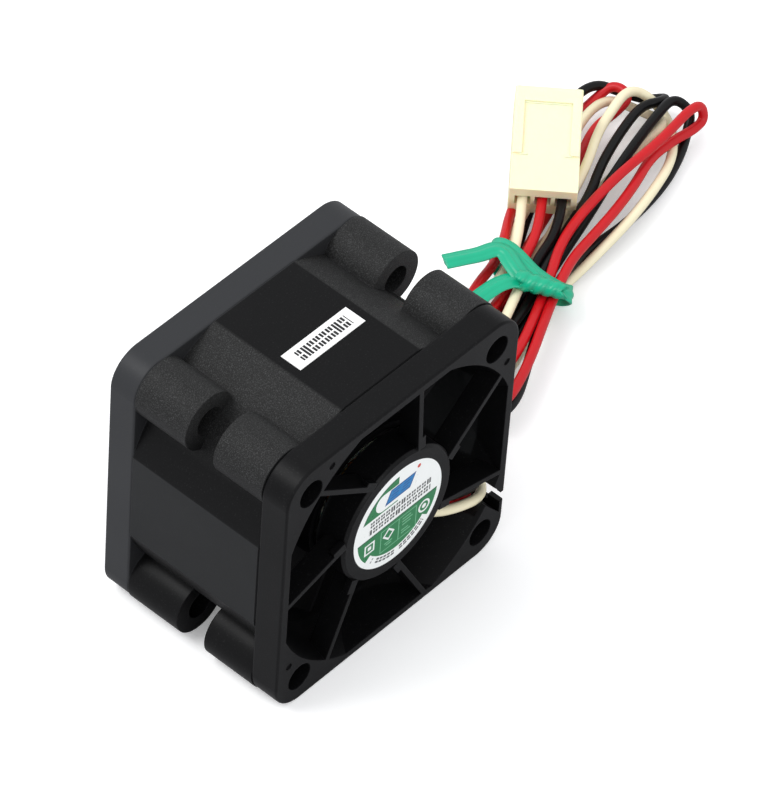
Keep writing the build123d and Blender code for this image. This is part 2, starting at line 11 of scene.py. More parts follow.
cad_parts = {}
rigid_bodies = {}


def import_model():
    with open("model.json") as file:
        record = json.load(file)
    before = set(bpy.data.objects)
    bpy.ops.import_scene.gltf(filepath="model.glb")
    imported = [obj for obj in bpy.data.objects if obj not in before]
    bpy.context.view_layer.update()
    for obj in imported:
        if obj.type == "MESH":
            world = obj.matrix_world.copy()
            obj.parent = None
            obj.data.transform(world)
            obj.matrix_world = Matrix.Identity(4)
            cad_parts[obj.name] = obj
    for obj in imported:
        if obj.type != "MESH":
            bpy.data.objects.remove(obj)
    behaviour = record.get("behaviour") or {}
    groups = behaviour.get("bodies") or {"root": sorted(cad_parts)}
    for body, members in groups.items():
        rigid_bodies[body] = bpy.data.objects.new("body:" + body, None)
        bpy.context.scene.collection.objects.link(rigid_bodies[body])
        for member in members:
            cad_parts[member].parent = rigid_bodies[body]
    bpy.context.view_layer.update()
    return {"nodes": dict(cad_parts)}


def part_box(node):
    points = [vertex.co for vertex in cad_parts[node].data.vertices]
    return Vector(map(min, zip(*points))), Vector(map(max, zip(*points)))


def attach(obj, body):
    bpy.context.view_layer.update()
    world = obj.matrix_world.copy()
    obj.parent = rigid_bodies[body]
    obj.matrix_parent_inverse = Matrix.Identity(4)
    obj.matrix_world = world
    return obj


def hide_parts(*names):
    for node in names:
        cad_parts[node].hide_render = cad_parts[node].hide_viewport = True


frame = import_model()

log = logging.getLogger("cooling_fan")
MM = 0.001
AXIS_HEIGHT = 0.020

Colour = tuple[float, float, float]
Point = tuple[float, float, float]
Socket = bpy.types.NodeSocket
Spot = tuple[float, float]
WHITE: Colour = (1.0, 1.0, 1.0)


def tone(red: int, green: int, blue: int) -> Colour:
    """Turn a screen colour into the linear colour that a shader takes.

    Args:
        red: Red from 0 to 255.
        green: Green from 0 to 255.
        blue: Blue from 0 to 255.

    Returns:
        The linear red, green and blue.
    """
    shares = (value / 255 for value in (red, green, blue))
    return tuple(s / 12.92 if s <= 0.04045 else ((s + 0.055) / 1.055) ** 2.4 for s in shares)


class Tree:
    """A node tree, with short calls that add its nodes and fill their inputs."""

    def __init__(self, tree: bpy.types.NodeTree) -> None:
        """Take an empty node tree.

        Args:
            tree: The tree.
        """
        self.tree = tree

    def add(self, kind: str, **settings: object) -> bpy.types.Node:
        """Add a node and set its options.

        Args:
            kind: The node's type name.
            **settings: Options of the node and their values.

        Returns:
            The new node.
        """
        node = self.tree.nodes.new(kind)
        for option, value in settings.items():
            setattr(node, option, value)
        return node

    def feed(self, socket: Socket, value: object) -> None:
        """Link a socket to another one, or set its own value.

        Args:
            socket: The input to fill.
            value: A socket, a colour, a material or a number.
        """
        if isinstance(value, bpy.types.NodeSocket):
            self.tree.links.new(value, socket)
        elif socket.type == "RGBA":
            socket.default_value = (*value, 1.0)
        else:
            socket.default_value = value

    def chain(self, kind: str, fed: dict[int | str, object], out: int | str = 0, **settings: object) -> Socket:
        """Add a node, fill its inputs, and go on from one of its outputs.

        Args:
            kind: The node's type name.
            fed: What goes into its inputs, by name or number.
            out: The output to go on from.
            **settings: Options of the node and their values.

        Returns:
            The output's socket.
        """
        node = self.add(kind, **settings)
        for name, value in fed.items():
            self.feed(node.inputs[name], value)
        return node.outputs[out]

    def for_camera(self, other: Socket, seen: Socket) -> Socket:
        """Show one shader to the camera, and another one to every other ray.

        Args:
            other: The shader for light that bounces.
            seen: The shader that the camera sees.

        Returns:
            The joined shader.
        """
        path = self.add("ShaderNodeLightPath").outputs["Is Camera Ray"]
        return self.chain("ShaderNodeMixShader", {0: path, 1: other, 2: seen})


class Graph(Tree):
    """The node tree of one material, with short calls for masks and colours."""

    def __init__(self, name: str) -> None:
        """Start a material with a Principled shader.

        Args:
            name: The material's name.
        """
        self.material = bpy.data.materials.new(name)
        self.material.use_nodes = True
        super().__init__(self.material.node_tree)
        self.tree.nodes.clear()
        self.output = self.add("ShaderNodeOutputMaterial")
        self.shader = self.add("ShaderNodeBsdfPrincipled")
        self.feed(self.output.inputs["Surface"], self.shader.outputs["BSDF"])
        self.position = self.add("ShaderNodeTexCoord").outputs["Object"]

    def surface(self, **values: object) -> None:
        """Fill inputs of the shader, with spaces written as underscores.

        Args:
            **values: Input names and what goes into them.
        """
        for name, value in values.items():
            self.feed(self.shader.inputs[name.replace("_", " ")], value)

    def calc(self, operation: str, first: object, second: object = 0.0, third: object = 0.0) -> Socket:
        """Add one step of arithmetic.

        Args:
            operation: The Math node's operation.
            first: The first value or socket.
            second: The second value or socket.
            third: The third value or socket.

        Returns:
            The result's socket.
        """
        return self.chain("ShaderNodeMath", {0: first, 1: second, 2: third}, operation=operation)

    def times(self, first: object, *others: object) -> Socket:
        """Multiply values, which for masks keeps what they share.

        Args:
            first: The first value or socket.
            *others: What it is multiplied by.

        Returns:
            The product's socket.
        """
        for other in others:
            first = self.calc("MULTIPLY", first, other)
        return first

    def any_of(self, first: object, *others: object) -> Socket:
        """Take the greatest of some values, which joins masks.

        Args:
            first: The first mask.
            *others: The other masks.

        Returns:
            The joined mask.
        """
        for other in others:
            first = self.calc("MAXIMUM", first, other)
        return first

    def without(self, mask: object, hole: object) -> Socket:
        """Take one mask out of another.

        Args:
            mask: The mask that is cut.
            hole: The mask that is taken out of it.

        Returns:
            What is left of the first mask.
        """
        return self.times(mask, self.calc("SUBTRACT", 1.0, hole))

    def axes(self, scale: float = 1.0, lift: float = 0.0) -> tuple[Socket, Socket, Socket]:
        """Split the object position, in millimetres if the scale is 1000.

        Args:
            scale: What each axis is multiplied by.
            lift: Height that is taken off Z first, in metres.

        Returns:
            Sockets for X, Y and Z.
        """
        parts = self.add("ShaderNodeSeparateXYZ")
        self.feed(parts.inputs[0], self.position)
        x, y, z = parts.outputs
        return tuple(self.times(part, scale) for part in (x, y, self.calc("SUBTRACT", z, lift)))

    def noise(self, scale: float, detail: float = 2.0, rough: float = 0.5, at: Socket | None = None) -> Socket:
        """Add a noise over the object.

        Args:
            scale: Waves per metre.
            detail: Finer layers of the noise.
            rough: Strength of the finer layers.
            at: Where it is read, or the object position.

        Returns:
            The noise from 0 to 1.
        """
        fed = {"Vector": at or self.position, "Scale": scale, "Detail": detail, "Roughness": rough}
        return self.chain("ShaderNodeTexNoise", fed, "Fac")

    def spread(self, value: Socket, low: float, high: float, to_low: float = 0.0, to_high: float = 1.0) -> Socket:
        """Map a value from one range to another, held at its ends.

        Args:
            value: The value's socket.
            low: Start of its range.
            high: End of its range.
            to_low: What the start becomes.
            to_high: What the end becomes.

        Returns:
            The mapped value.
        """
        fed = {"Value": value, "From Min": low, "From Max": high, "To Min": to_low, "To Max": to_high}
        return self.chain("ShaderNodeMapRange", fed, "Result")

    def ramp(self, noise: Socket, low: float, high: float) -> Socket:
        """Spread the range where a noise mostly lies, 0.3 to 0.7, over other values.

        Args:
            noise: The noise.
            low: Value for its low parts.
            high: Value for its high parts.

        Returns:
            The mapped value.
        """
        return self.spread(noise, 0.3, 0.7, low, high)

    def mix(self, share: object, first: object, second: object) -> Socket:
        """Mix two colours.

        Args:
            share: How much of the second colour shows.
            first: The first colour or socket.
            second: The second colour or socket.

        Returns:
            The mixed colour.
        """
        return self.chain("ShaderNodeMix", {0: share, 6: first, 7: second}, 2, data_type="RGBA")

    def bump(self, height: Socket, distance: float, edge: float = 0.0) -> None:
        """Raise the surface by a height map.

        Args:
            height: The height's socket.
            distance: Metres for a height of 1.
            edge: Radius that edges are shaded with, or 0.
        """
        fed = {"Height": height, "Distance": distance, "Strength": 1.0}
        if edge:
            fed["Normal"] = self.chain("ShaderNodeBevel", {"Radius": edge}, samples=4)
        self.surface(Normal=self.chain("ShaderNodeBump", fed))

    def band(self, value: Socket, low: float, high: float) -> Socket:
        """Mask a range of a value.

        Args:
            value: The value's socket.
            low: Start of the range.
            high: End of the range.

        Returns:
            1 inside and 0 outside.
        """
        return self.calc("COMPARE", value, (low + high) / 2, (high - low) / 2)

    def radius(self, across: Socket, up: Socket, centre: Spot = (0.0, 0.0)) -> Socket:
        """Measure the distance from a point in a plane.

        Args:
            across: The position across.
            up: The position up.
            centre: The point.

        Returns:
            The distance.
        """
        dx = self.calc("SUBTRACT", across, centre[0])
        dz = self.calc("SUBTRACT", up, centre[1])
        return self.calc("SQRT", self.calc("ADD", self.times(dx, dx), self.times(dz, dz)))


class Print(Graph):
    """The graph of printed paper, with places in millimetres across and up it."""

    def __init__(self, name: str, upright: bool) -> None:
        """Start a print.

        Args:
            name: The material's name.
            upright: Whether the paper stands in the XZ plane, not the XY plane.
        """
        super().__init__(name)
        self.across, y, z = self.axes(1000.0, AXIS_HEIGHT)
        self.up = z if upright else y
        self.shade: object = WHITE

    def ink(self, mask: Socket, colour: Colour, strength: float = 1.0) -> None:
        """Print a mask in one colour over what is there.

        Args:
            mask: Where it prints.
            colour: The ink.
            strength: How well it covers.
        """
        self.shade = self.mix(self.times(mask, strength), self.shade, colour)

    def patch(self, centre: Spot, half: Spot, across: Socket | None = None) -> Socket:
        """Mask a rectangle.

        Args:
            centre: Middle of the rectangle.
            half: Half of its width and height.
            across: A slanted position across, or the paper's own.

        Returns:
            1 inside and 0 outside.
        """
        inside = self.calc("COMPARE", across or self.across, centre[0], half[0])
        return self.times(inside, self.calc("COMPARE", self.up, centre[1], half[1]))

    def disc(self, centre: Spot, radius: float) -> Socket:
        """Mask a disc.

        Args:
            centre: Its middle.
            radius: Its radius.

        Returns:
            1 inside and 0 outside.
        """
        return self.calc("LESS_THAN", self.radius(self.across, self.up, centre), radius)

    def tally(self, along: Socket, per_unit: float, seed: float, filled: float, wide: float = 0.78) -> Socket:
        """Mask short printed bars along a line, with some left out.

        Args:
            along: The position along the line.
            per_unit: Cells for each unit of it.
            seed: Start of the random choice.
            filled: Share of the cells that are printed.
            wide: Share of a cell that its bar takes.

        Returns:
            1 on a bar and 0 between bars.
        """
        cells = self.times(along, per_unit)
        place = self.calc("ADD", self.calc("FLOOR", cells), seed)
        random = self.chain("ShaderNodeTexWhiteNoise", {"W": place}, "Value", noise_dimensions="1D")
        return self.times(self.calc("LESS_THAN", random, filled),
                          self.calc("LESS_THAN", self.calc("FRACT", cells), wide))


class WireColour(Enum):
    """The three wires of the lead, in the order of the connector's ways."""

    BLACK = "black"
    RED = "red"
    CREAM = "cream"


@dataclass(frozen=True)
class Moulding:
    """A moulded plastic with a fine eroded grain."""

    name: str
    colour: Colour
    roughness: float = 0.5
    gloss: float = 0.4
    grain_scale: float = 3200.0
    grain_depth: float = 0.00001
    mottle: float = 0.12
    glow: float = 0.0
    uneven: float = 0.06

    def material(self) -> bpy.types.Material:
        """Build the material.

        Returns:
            The material.
        """
        g = Graph(self.name)
        cloud = g.noise(180.0, 3.0)
        grain = g.noise(self.grain_scale, 2.0, 0.6)
        dark = tuple(c * (1 - self.mottle) for c in self.colour)
        light = tuple(min(1.0, c * (1 + self.mottle)) for c in self.colour)
        g.surface(Base_Color=g.mix(cloud, dark, light), Specular_IOR_Level=self.gloss)
        g.surface(Roughness=g.ramp(cloud, self.roughness - self.uneven, self.roughness + self.uneven))
        if self.glow:
            g.surface(Subsurface_Weight=self.glow, Subsurface_Scale=0.002)
        g.bump(grain, self.grain_depth)
        return g.material


@dataclass(frozen=True)
class FrameMoulding:
    """The frame's black plastic: satin flanges and panels, and a coarse eroded grain on the round barrel.

    Lengths are in millimetres. The grain and a painted light show on the upper slopes, and fade over a height below
    them into a painted shade.
    """

    # painted light: lighter tones on the rear flange, the flat side panels and the upper barrel slopes; painted shade
    # below them
    name: str = "frame black plastic"
    dark: Colour = tone(7, 7, 8)
    light: Colour = tone(13, 13, 14)
    # painted light: the rear flange's lighter tone stands for the light falling on it from behind
    lit_rear_flange: Colour = tone(51, 52, 54)
    # painted light: a lighter tone for the flat side panels, where light falls on the sides
    lit_side_panel: Colour = tone(32, 33, 34)
    # eroded grain with painted light: the lighter tone of the lit barrel slopes
    rough: Colour = tone(34, 34, 34)
    # dust and painted glints: the light colour of both speckles
    dust_and_glint: Colour = tone(82, 83, 83)
    gloss: float = 0.13
    panel_half: float = 6.7
    duct_r: float = 18.9
    flange_from: float = 10.0
    # painted light and shade: fade, lean and least set how the lit upper slopes fall off into shade below
    fade: Spot = (0.0, 5.0)
    lean: float = 0.6
    least: float = 0.04
    # painted highlight: strength of the painted glints
    glint: float = 0.7
    edge: float = 0.00016

    def material(self) -> bpy.types.Material:
        """Build the material.

        Returns:
            The material.
        """
        g = Graph(self.name)
        x, y, z = g.axes(1000.0, AXIS_HEIGHT)
        across = g.calc("ABSOLUTE", x)
        up = g.calc("ABSOLUTE", z)
        slope = g.spread(g.calc("MINIMUM", across, up), self.panel_half - 0.1, self.panel_half + 0.3)
        outside = g.spread(g.radius(x, z), self.duct_r, self.duct_r + 0.4)
        seam = (self.flange_from - 0.15, self.flange_from + 0.05)
        middle = g.spread(g.calc("ABSOLUTE", y), *seam, 1.0, 0.0)
        barrel = g.times(slope, outside, middle)
        # painted light: 1 on the upper slopes, falling to least below them
        lit_share = g.spread(g.calc("SUBTRACT", z, g.times(across, self.lean)), *self.fade, self.least)
        # the eroded barrel, kept only where the painted light falls
        eroded = g.times(barrel, lit_share)
        cloud = g.noise(90.0, 4.0, 0.55)
        fine = g.noise(5200.0, 1.0, 0.5)
        coarse = g.noise(7600.0, 2.0, 0.7)
        # painted light: the rear flange is mixed to its lighter tone
        base = g.mix(g.spread(y, *seam), g.mix(cloud, self.dark, self.light), self.lit_rear_flange)
        # painted light: the flat side panels take their lighter tone
        side = g.without(g.calc("GREATER_THAN", across, up), slope)
        base = g.mix(g.times(side, middle), base, self.lit_side_panel)
        # painted shade: the barrel below the lit upper slopes takes the dark tone
        base = g.mix(g.without(barrel, lit_share), base, self.dark)
        # painted light: the lit eroded slopes take their lighter tone
        base = g.mix(eroded, base, self.rough)
        # painted highlight: glints on the lit eroded slopes
        painted_glint = g.times(g.spread(coarse, 0.5, 0.72), eroded, self.glint)
        dust = g.without(g.spread(fine, 0.64, 0.76, 0.0, 0.16), eroded)
        # dust and painted glints are mixed in with the same light colour
        g.surface(Base_Color=g.mix(g.any_of(painted_glint, dust), base, self.dust_and_glint), Specular_IOR_Level=self.gloss)
        g.surface(Roughness=g.calc("ADD", g.ramp(cloud, 0.36, 0.46), g.times(eroded, 0.14)))
        g.bump(g.calc("ADD", g.times(fine, 0.2), g.times(coarse, eroded, 1.6)), 0.00003, edge=self.edge)
        return g.material


@dataclass(frozen=True)
class Metal:
    """A metal surface with fine marks around or along the motor axis."""

    name: str
    colour: Colour
    roughness: float = 0.3
    marks: float = 900.0
    tarnish: float = 0.15

    def material(self) -> bpy.types.Material:
        """Build the material.

        Returns:
            The material.
        """
        g = Graph(self.name)
        stretched = g.chain("ShaderNodeMapping", {"Vector": g.position, "Scale": (0.15, 1.0, 0.15)})
        lines = g.noise(self.marks * 3, 2.0, 0.6, stretched)
        cloud = g.noise(400.0, 3.0)
        dull = tuple(c * (1 - self.tarnish) for c in self.colour)
        g.surface(Base_Color=g.mix(cloud, dull, self.colour), Metallic=1.0)
        g.surface(Roughness=g.spread(lines, 0.2, 0.8, self.roughness * 0.7, self.roughness * 1.4))
        g.bump(lines, 0.000004)
        return g.material


@dataclass(frozen=True)
class Insulation:
    """Soft vinyl on a wire, with a dull sheen and slight unevenness."""

    name: str
    colour: Colour
    deep: Colour
    roughness: float = 0.34
    gloss: float = 0.4

    def material(self) -> bpy.types.Material:
        """Build the material.

        Returns:
            The material.
        """
        g = Graph(self.name)
        cloud = g.noise(260.0, 3.0, 0.55)
        fine = g.noise(1900.0, 2.0, 0.6)
        g.surface(Base_Color=g.mix(cloud, self.deep, self.colour), Specular_IOR_Level=self.gloss)
        g.surface(Roughness=g.ramp(fine, self.roughness - 0.05, self.roughness + 0.1))
        g.bump(fine, 0.000012)
        return g.material


@dataclass(frozen=True)
class Winding:
    """Enamelled copper wire."""

    name: str = "enamelled copper"
    deep: Colour = tone(150, 72, 34)
    bright: Colour = tone(206, 118, 62)

    def material(self) -> bpy.types.Material:
        """Build the material.

        Returns:
            The material.
        """
        g = Graph(self.name)
        cloud = g.noise(700.0, 2.0)
        g.surface(Base_Color=g.mix(cloud, self.deep, self.bright), Metallic=0.85, Roughness=g.ramp(cloud, 0.22, 0.36))
        g.surface(Coat_Weight=0.6, Coat_Roughness=0.12)
        return g.material


@dataclass(frozen=True)
class Laminations:
    """Stamped steel sheets seen on their edges."""

    name: str = "laminated steel"
    sheet: float = 0.35
    joint: Colour = tone(58, 52, 48)
    steel: Colour = tone(150, 150, 155)

    def material(self) -> bpy.types.Material:
        """Build the material.

        Returns:
            The material.
        """
        g = Graph(self.name)
        _, y, _ = g.axes(1000.0)
        edge = g.spread(g.calc("PINGPONG", y, self.sheet / 2), 0.0, self.sheet / 6)
        g.surface(Base_Color=g.mix(edge, self.joint, self.steel), Metallic=0.9)
        g.surface(Roughness=g.ramp(g.noise(600.0), 0.35, 0.5))
        g.bump(edge, 0.00003)
        return g.material


@dataclass(frozen=True)
class BoardResist:
    """A circuit board with solder resist over copper tracks."""

    name: str = "green solder resist"
    resist: Colour = tone(18, 84, 50)
    copper: Colour = tone(44, 124, 74)
    rings: float = 1.1
    breaks: float = 1.9

    def material(self) -> bpy.types.Material:
        """Build the material.

        Returns:
            The material.
        """
        g = Graph(self.name)
        x, _, z = g.axes(1000.0, AXIS_HEIGHT)
        away = g.radius(x, z)
        rings = g.band(g.calc("FRACT", g.times(away, self.rings)), 0.3, 0.68)
        turn = g.calc("ADD", g.times(g.calc("ARCTAN2", z, x), self.breaks), away)
        track = g.times(rings, g.band(g.calc("FRACT", turn), 0.14, 1.0))
        g.surface(Base_Color=g.mix(track, self.resist, self.copper), Coat_Weight=0.35)
        g.surface(Roughness=g.ramp(g.noise(900.0), 0.3, 0.42))
        g.bump(track, 0.00003)
        return g.material


@dataclass(frozen=True)
class BarRow:
    """One row of plain printed bars in uneven pieces, where the real thing has text."""

    centre: Spot
    half: Spot
    gap: Spot
    cells: float
    seeds: Spot
    filled: float
    split: Spot = (0.33, 0.43)

    def mask(self, g: Print) -> Socket:
        """Mask the row.

        Args:
            g: The print that it is on.

        Returns:
            1 on a bar and 0 elsewhere.
        """
        place = g.calc("ADD", g.across, 20.0)
        bars = g.times(g.tally(place, self.cells, self.seeds[0], self.filled), g.patch(self.centre, self.half))
        gap = g.times(g.tally(place, self.cells, self.seeds[1], 0.6), g.band(g.up, *self.gap))
        split = g.band(g.calc("FRACT", g.times(place, self.cells)), *self.split)
        return g.without(bars, g.any_of(gap, split))


@dataclass(frozen=True)
class LabelPrint:
    """The round label on the motor base, with plain signs and bars where the real one has print.

    Places are in millimetres from the label's centre, and none of its signs is a letter.
    """

    name: str = "printed hub label"
    paper: Colour = tone(252, 254, 253)
    paper_deep: Colour = tone(244, 248, 245)
    green: Colour = tone(24, 122, 70)
    deep: Colour = tone(16, 86, 54)
    pale: Colour = tone(132, 204, 160)
    blue: Colour = tone(18, 122, 188)
    navy: Colour = tone(18, 72, 138)
    red: Colour = tone(206, 70, 58)
    ink: Colour = tone(24, 28, 34)
    field_r: float = 6.95
    foot_r: float = 5.85
    box_at: Spot = (0.33, -3.0)
    square_at: Spot = (-4.75, -2.35)
    ring_at: Spot = (4.8, -2.3)
    block_at: Spot = (0.19, 4.22)
    block_lean: float = 0.456
    dashes: tuple[Point, ...] = (
        (1.75, -1.75, 0.75), (1.9, -2.25, 0.9), (1.75, -2.75, 0.75), (1.5, -3.65, 0.6), (1.7, -4.1, 0.8),
        (-1.4, -3.75, 0.7), (-1.3, -4.15, 0.5),
    )
    text: tuple[BarRow, ...] = (
        BarRow((0.33, 1.6), (5.35, 0.45), (1.52, 1.68), 1.12, (3.0, 9.0), 0.95),
        BarRow((0.33, 0.42), (5.35, 0.45), (0.34, 0.5), 1.02, (11.0, 17.0), 0.88),
    )

    def material(self) -> bpy.types.Material:
        """Build the material.

        Returns:
            The material.
        """
        g = Print(self.name, upright=True)
        away = g.radius(g.across, g.up)
        turn = g.calc("ARCTAN2", g.across, g.times(g.up, -1.0))
        g.shade = g.mix(g.noise(300.0), self.paper, self.paper_deep)
        self.fields(g, away, turn)
        self.signs(g)
        self.block(g)
        self.rows(g, away, turn)
        g.surface(Base_Color=g.shade, Specular_IOR_Level=0.5, Roughness=g.ramp(g.noise(500.0), 0.26, 0.38))
        return g.material

    def fields(self, g: Print, away: Socket, turn: Socket) -> None:
        """Print the two green fields.

        Args:
            g: The print.
            away: Distance from the centre.
            turn: Angle from straight down.
        """
        inside = g.calc("LESS_THAN", away, self.field_r)
        foot = g.times(g.calc("GREATER_THAN", away, self.foot_r), g.band(turn, -0.88, 0.9), g.band(g.up, -9.0, -3.0))
        g.ink(g.without(g.times(g.band(g.up, -9.0, -0.5), inside), foot), self.green)
        g.ink(g.times(g.band(g.up, -0.72, -0.5), inside), self.deep)
        hollow = g.any_of(g.disc((-2.7, 4.02), 1.38), g.patch((1.3, 4.02), (4.0, 1.38)))
        upper = g.times(g.calc("LESS_THAN", away, 6.65), g.patch((-4.1, 4.6), (3.92, 2.16)))
        upper = g.without(upper, hollow)
        g.ink(upper, self.green)
        g.ink(g.times(g.calc("GREATER_THAN", away, 6.45), upper), self.deep)

    def signs(self, g: Print) -> None:
        """Print a box of plain lines, a diamond, a square and a ring on the lower field.

        Args:
            g: The print.
        """
        border = g.without(g.patch(self.box_at, (3.15, 1.87)), g.patch(self.box_at, (3.03, 1.75)))
        dashes = [g.patch((across, up), (half, 0.09)) for across, up, half in self.dashes]
        g.ink(g.any_of(border, g.patch((0.38, -3.0), (0.07, 1.8)), *dashes), self.pale, 0.75)
        lean = g.calc("ADD", *(g.calc("ABSOLUTE", g.calc("ADD", *part)) for part in ((g.across, 1.4), (g.up, 2.4))))
        diamond = g.without(g.calc("LESS_THAN", lean, 1.05), g.calc("LESS_THAN", lean, 0.68))
        outer, inner, core = (g.patch(self.square_at, (half, half)) for half in (0.88, 0.62, 0.3))
        square = g.any_of(g.without(outer, inner), core)
        outer, inner, core = (g.disc(self.ring_at, radius) for radius in (1.0, 0.72, 0.36))
        ring = g.any_of(g.without(outer, inner), core)
        g.ink(g.any_of(diamond, square, ring), self.paper, 0.92)

    def block(self, g: Print) -> None:
        """Print the slanted blue block with plain navy bars, and the red dot.

        Args:
            g: The print.
        """
        height = g.calc("SUBTRACT", g.up, self.block_at[1])
        lean = g.calc("SUBTRACT", g.across, g.times(height, self.block_lean))
        g.ink(g.patch(self.block_at, (2.2, 1.05), lean), self.navy)
        g.ink(g.patch(self.block_at, (2.02, 0.86), lean), self.blue)
        for across in (-0.75, 1.15):
            for up in (4.66, 4.22, 3.78):
                g.ink(g.patch((across, up), (0.62, 0.07), lean), self.navy)
        g.ink(g.disc((3.3, 5.86), 0.3), self.red)

    def rows(self, g: Print, away: Socket, turn: Socket) -> None:
        """Print two rows of plain bars across the middle, and one along the foot.

        Args:
            g: The print.
            away: Distance from the centre.
            turn: Angle from straight down.
        """
        for row in self.text:
            g.ink(row.mask(g), self.ink, 0.93)
        foot = g.times(g.band(away, 6.1, 6.85), g.band(turn, -0.72, 0.8))
        foot = g.times(foot, g.tally(g.calc("ADD", turn, 4.0), 9.0, 7.0, 0.86))
        g.ink(g.without(foot, g.band(away, 6.4, 6.55)), self.ink, 0.9)


@dataclass(frozen=True)
class StickerPrint:
    """The small paper sticker on top, with a row of plain printed bars."""

    name: str = "printed paper sticker"
    grey: Colour = tone(236, 236, 234)
    paper: Colour = tone(250, 250, 249)
    ink: Colour = tone(34, 34, 36)
    row: BarRow = BarRow((0.1, -0.9), (4.25, 0.86), (-1.0, -0.78), 0.95, (4.0, 9.0), 0.97, (0.32, 0.44))

    def material(self) -> bpy.types.Material:
        """Build the material.

        Returns:
            The material.
        """
        g = Print(self.name, upright=False)
        fibre = g.noise(2600.0, 3.0, 0.65)
        g.shade = g.mix(fibre, self.grey, self.paper)
        g.ink(self.row.mask(g), self.ink)
        g.surface(Base_Color=g.shade, Roughness=0.62, Specular_IOR_Level=0.3)
        g.bump(fibre, 0.000006)
        return g.material


def link(name: str, data: bpy.types.ID) -> bpy.types.Object:
    """Make an object of some data and put it in the scene.

    Args:
        name: The object's name.
        data: A mesh, curve, camera or lamp.

    Returns:
        The object.
    """
    made = bpy.data.objects.new(name, data)
    bpy.context.scene.collection.objects.link(made)
    return made


def plain_mesh(obj: bpy.types.Object, name: str) -> bpy.types.Object:
    """Turn an object with live modifiers into a plain mesh object, and remove the first one.

    Args:
        obj: The object to evaluate.
        name: Name of the result.

    Returns:
        The plain mesh object.
    """
    bpy.context.view_layer.update()
    seen = obj.evaluated_get(bpy.context.evaluated_depsgraph_get())
    mesh = bpy.data.meshes.new_from_object(seen)
    mesh.name = name
    bpy.data.objects.remove(obj)
    return link(name, mesh)


def mesh_object(name: str, mesh_builder: bmesh.types.BMesh, smooth: bool = True) -> bpy.types.Object:
    """Make an object from a finished bmesh.

    Args:
        name: The object's name.
        mesh_builder: The bmesh, which is freed.
        smooth: Whether its faces are shaded smooth.

    Returns:
        The object, linked to the scene.
    """
    mesh = bpy.data.meshes.new(name)
    mesh_builder.to_mesh(mesh)
    mesh_builder.free()
    for polygon in mesh.polygons:
        polygon.use_smooth = smooth
    return link(name, mesh)


@dataclass
class Studio:
    """Camera, lamps, surroundings and floor."""

    camera_place: Point = (-0.412187, -0.344202, 0.605046)
    camera_turn: tuple[Point, Point, Point] = (
        (0.670580, 0.518356, -0.530688),
        (-0.739974, 0.518069, -0.429003),
        (0.052556, 0.680376, 0.730976),
    )
    lens: float = 303.03
    film: float = 36.0
    floor_half: float = 3.0
    key_energy: float = 14.0
    key_size: float = 0.9
    key_place: Point = (-0.75, 0.75, 1.35)
    fill_energy: float = 7.5
    fill_place: Point = (-0.4, -1.5, 0.9)
    sky: float = 0.9
    sky_colour: Colour = (0.97, 0.98, 1.0)
    aim: Point = (0.02, 0.0, 0.02)
    floor_glow: float = 0.2

    def camera(self) -> None:
        """Stand the camera where the photograph was taken."""
        data = bpy.data.cameras.new("camera")
        data.sensor_fit = "VERTICAL"
        data.sensor_height = self.film
        data.lens = self.lens
        data.clip_start = 0.01
        data.clip_end = 20.0
        made = link("camera", data)
        made.matrix_world = Matrix.Translation(self.camera_place) @ Matrix(self.camera_turn).to_4x4()
        bpy.context.scene.camera = made

    def lamp(self, name: str, place: Point, energy: float) -> None:
        """Add a soft square lamp that points at the fan.

        Args:
            name: The lamp's name.
            place: Where it stands.
            energy: Its power in watts.
        """
        data = bpy.data.lights.new(name, "AREA")
        data.shape = "SQUARE"
        data.size = self.key_size
        data.energy = energy
        toward = (Vector(self.aim) - Vector(place)).to_track_quat("-Z", "Y")
        link(name, data).matrix_world = Matrix.Translation(place) @ toward.to_matrix().to_4x4()

    def surroundings(self) -> None:
        """Light the scene evenly from all sides, and show white behind it."""
        world = bpy.data.worlds.new("studio")
        bpy.context.scene.world = world
        world.use_nodes = True
        g = Tree(world.node_tree)
        g.tree.nodes.clear()
        light = g.chain("ShaderNodeBackground", {"Color": self.sky_colour, "Strength": self.sky})
        white = g.chain("ShaderNodeBackground", {"Color": WHITE})
        g.feed(g.add("ShaderNodeOutputWorld").inputs[0], g.for_camera(light, white))

    def floor(self) -> None:
        """Lay a floor that looks white and keeps the soft shadow, but throws back less light."""
        builder = bmesh.new()
        h = self.floor_half
        builder.faces.new([builder.verts.new(c) for c in ((-h, -h, 0), (h, -h, 0), (h, h, 0), (-h, h, 0))])
        made = mesh_object("floor", builder, smooth=False)
        g = Graph("white floor")
        g.surface(Base_Color=tone(194, 194, 196), Roughness=0.9, Specular_IOR_Level=0.1)
        white = g.chain("ShaderNodeBsdfDiffuse", {"Color": WHITE})
        glow = g.chain("ShaderNodeEmission", {"Strength": self.floor_glow})
        seen = g.chain("ShaderNodeAddShader", {0: white, 1: glow})
        g.feed(g.output.inputs["Surface"], g.for_camera(g.shader.outputs[0], seen))
        made.data.materials.append(g.material)

    def build(self) -> None:
        """Set up the whole studio."""
        bpy.context.scene.view_settings.view_transform = "Standard"
        self.camera()
        self.lamp("key lamp", self.key_place, self.key_energy)
        self.lamp("fill lamp", self.fill_place, self.fill_energy)
        self.surroundings()
        self.floor()
        log.info("studio: camera, two lamps, surroundings and floor")


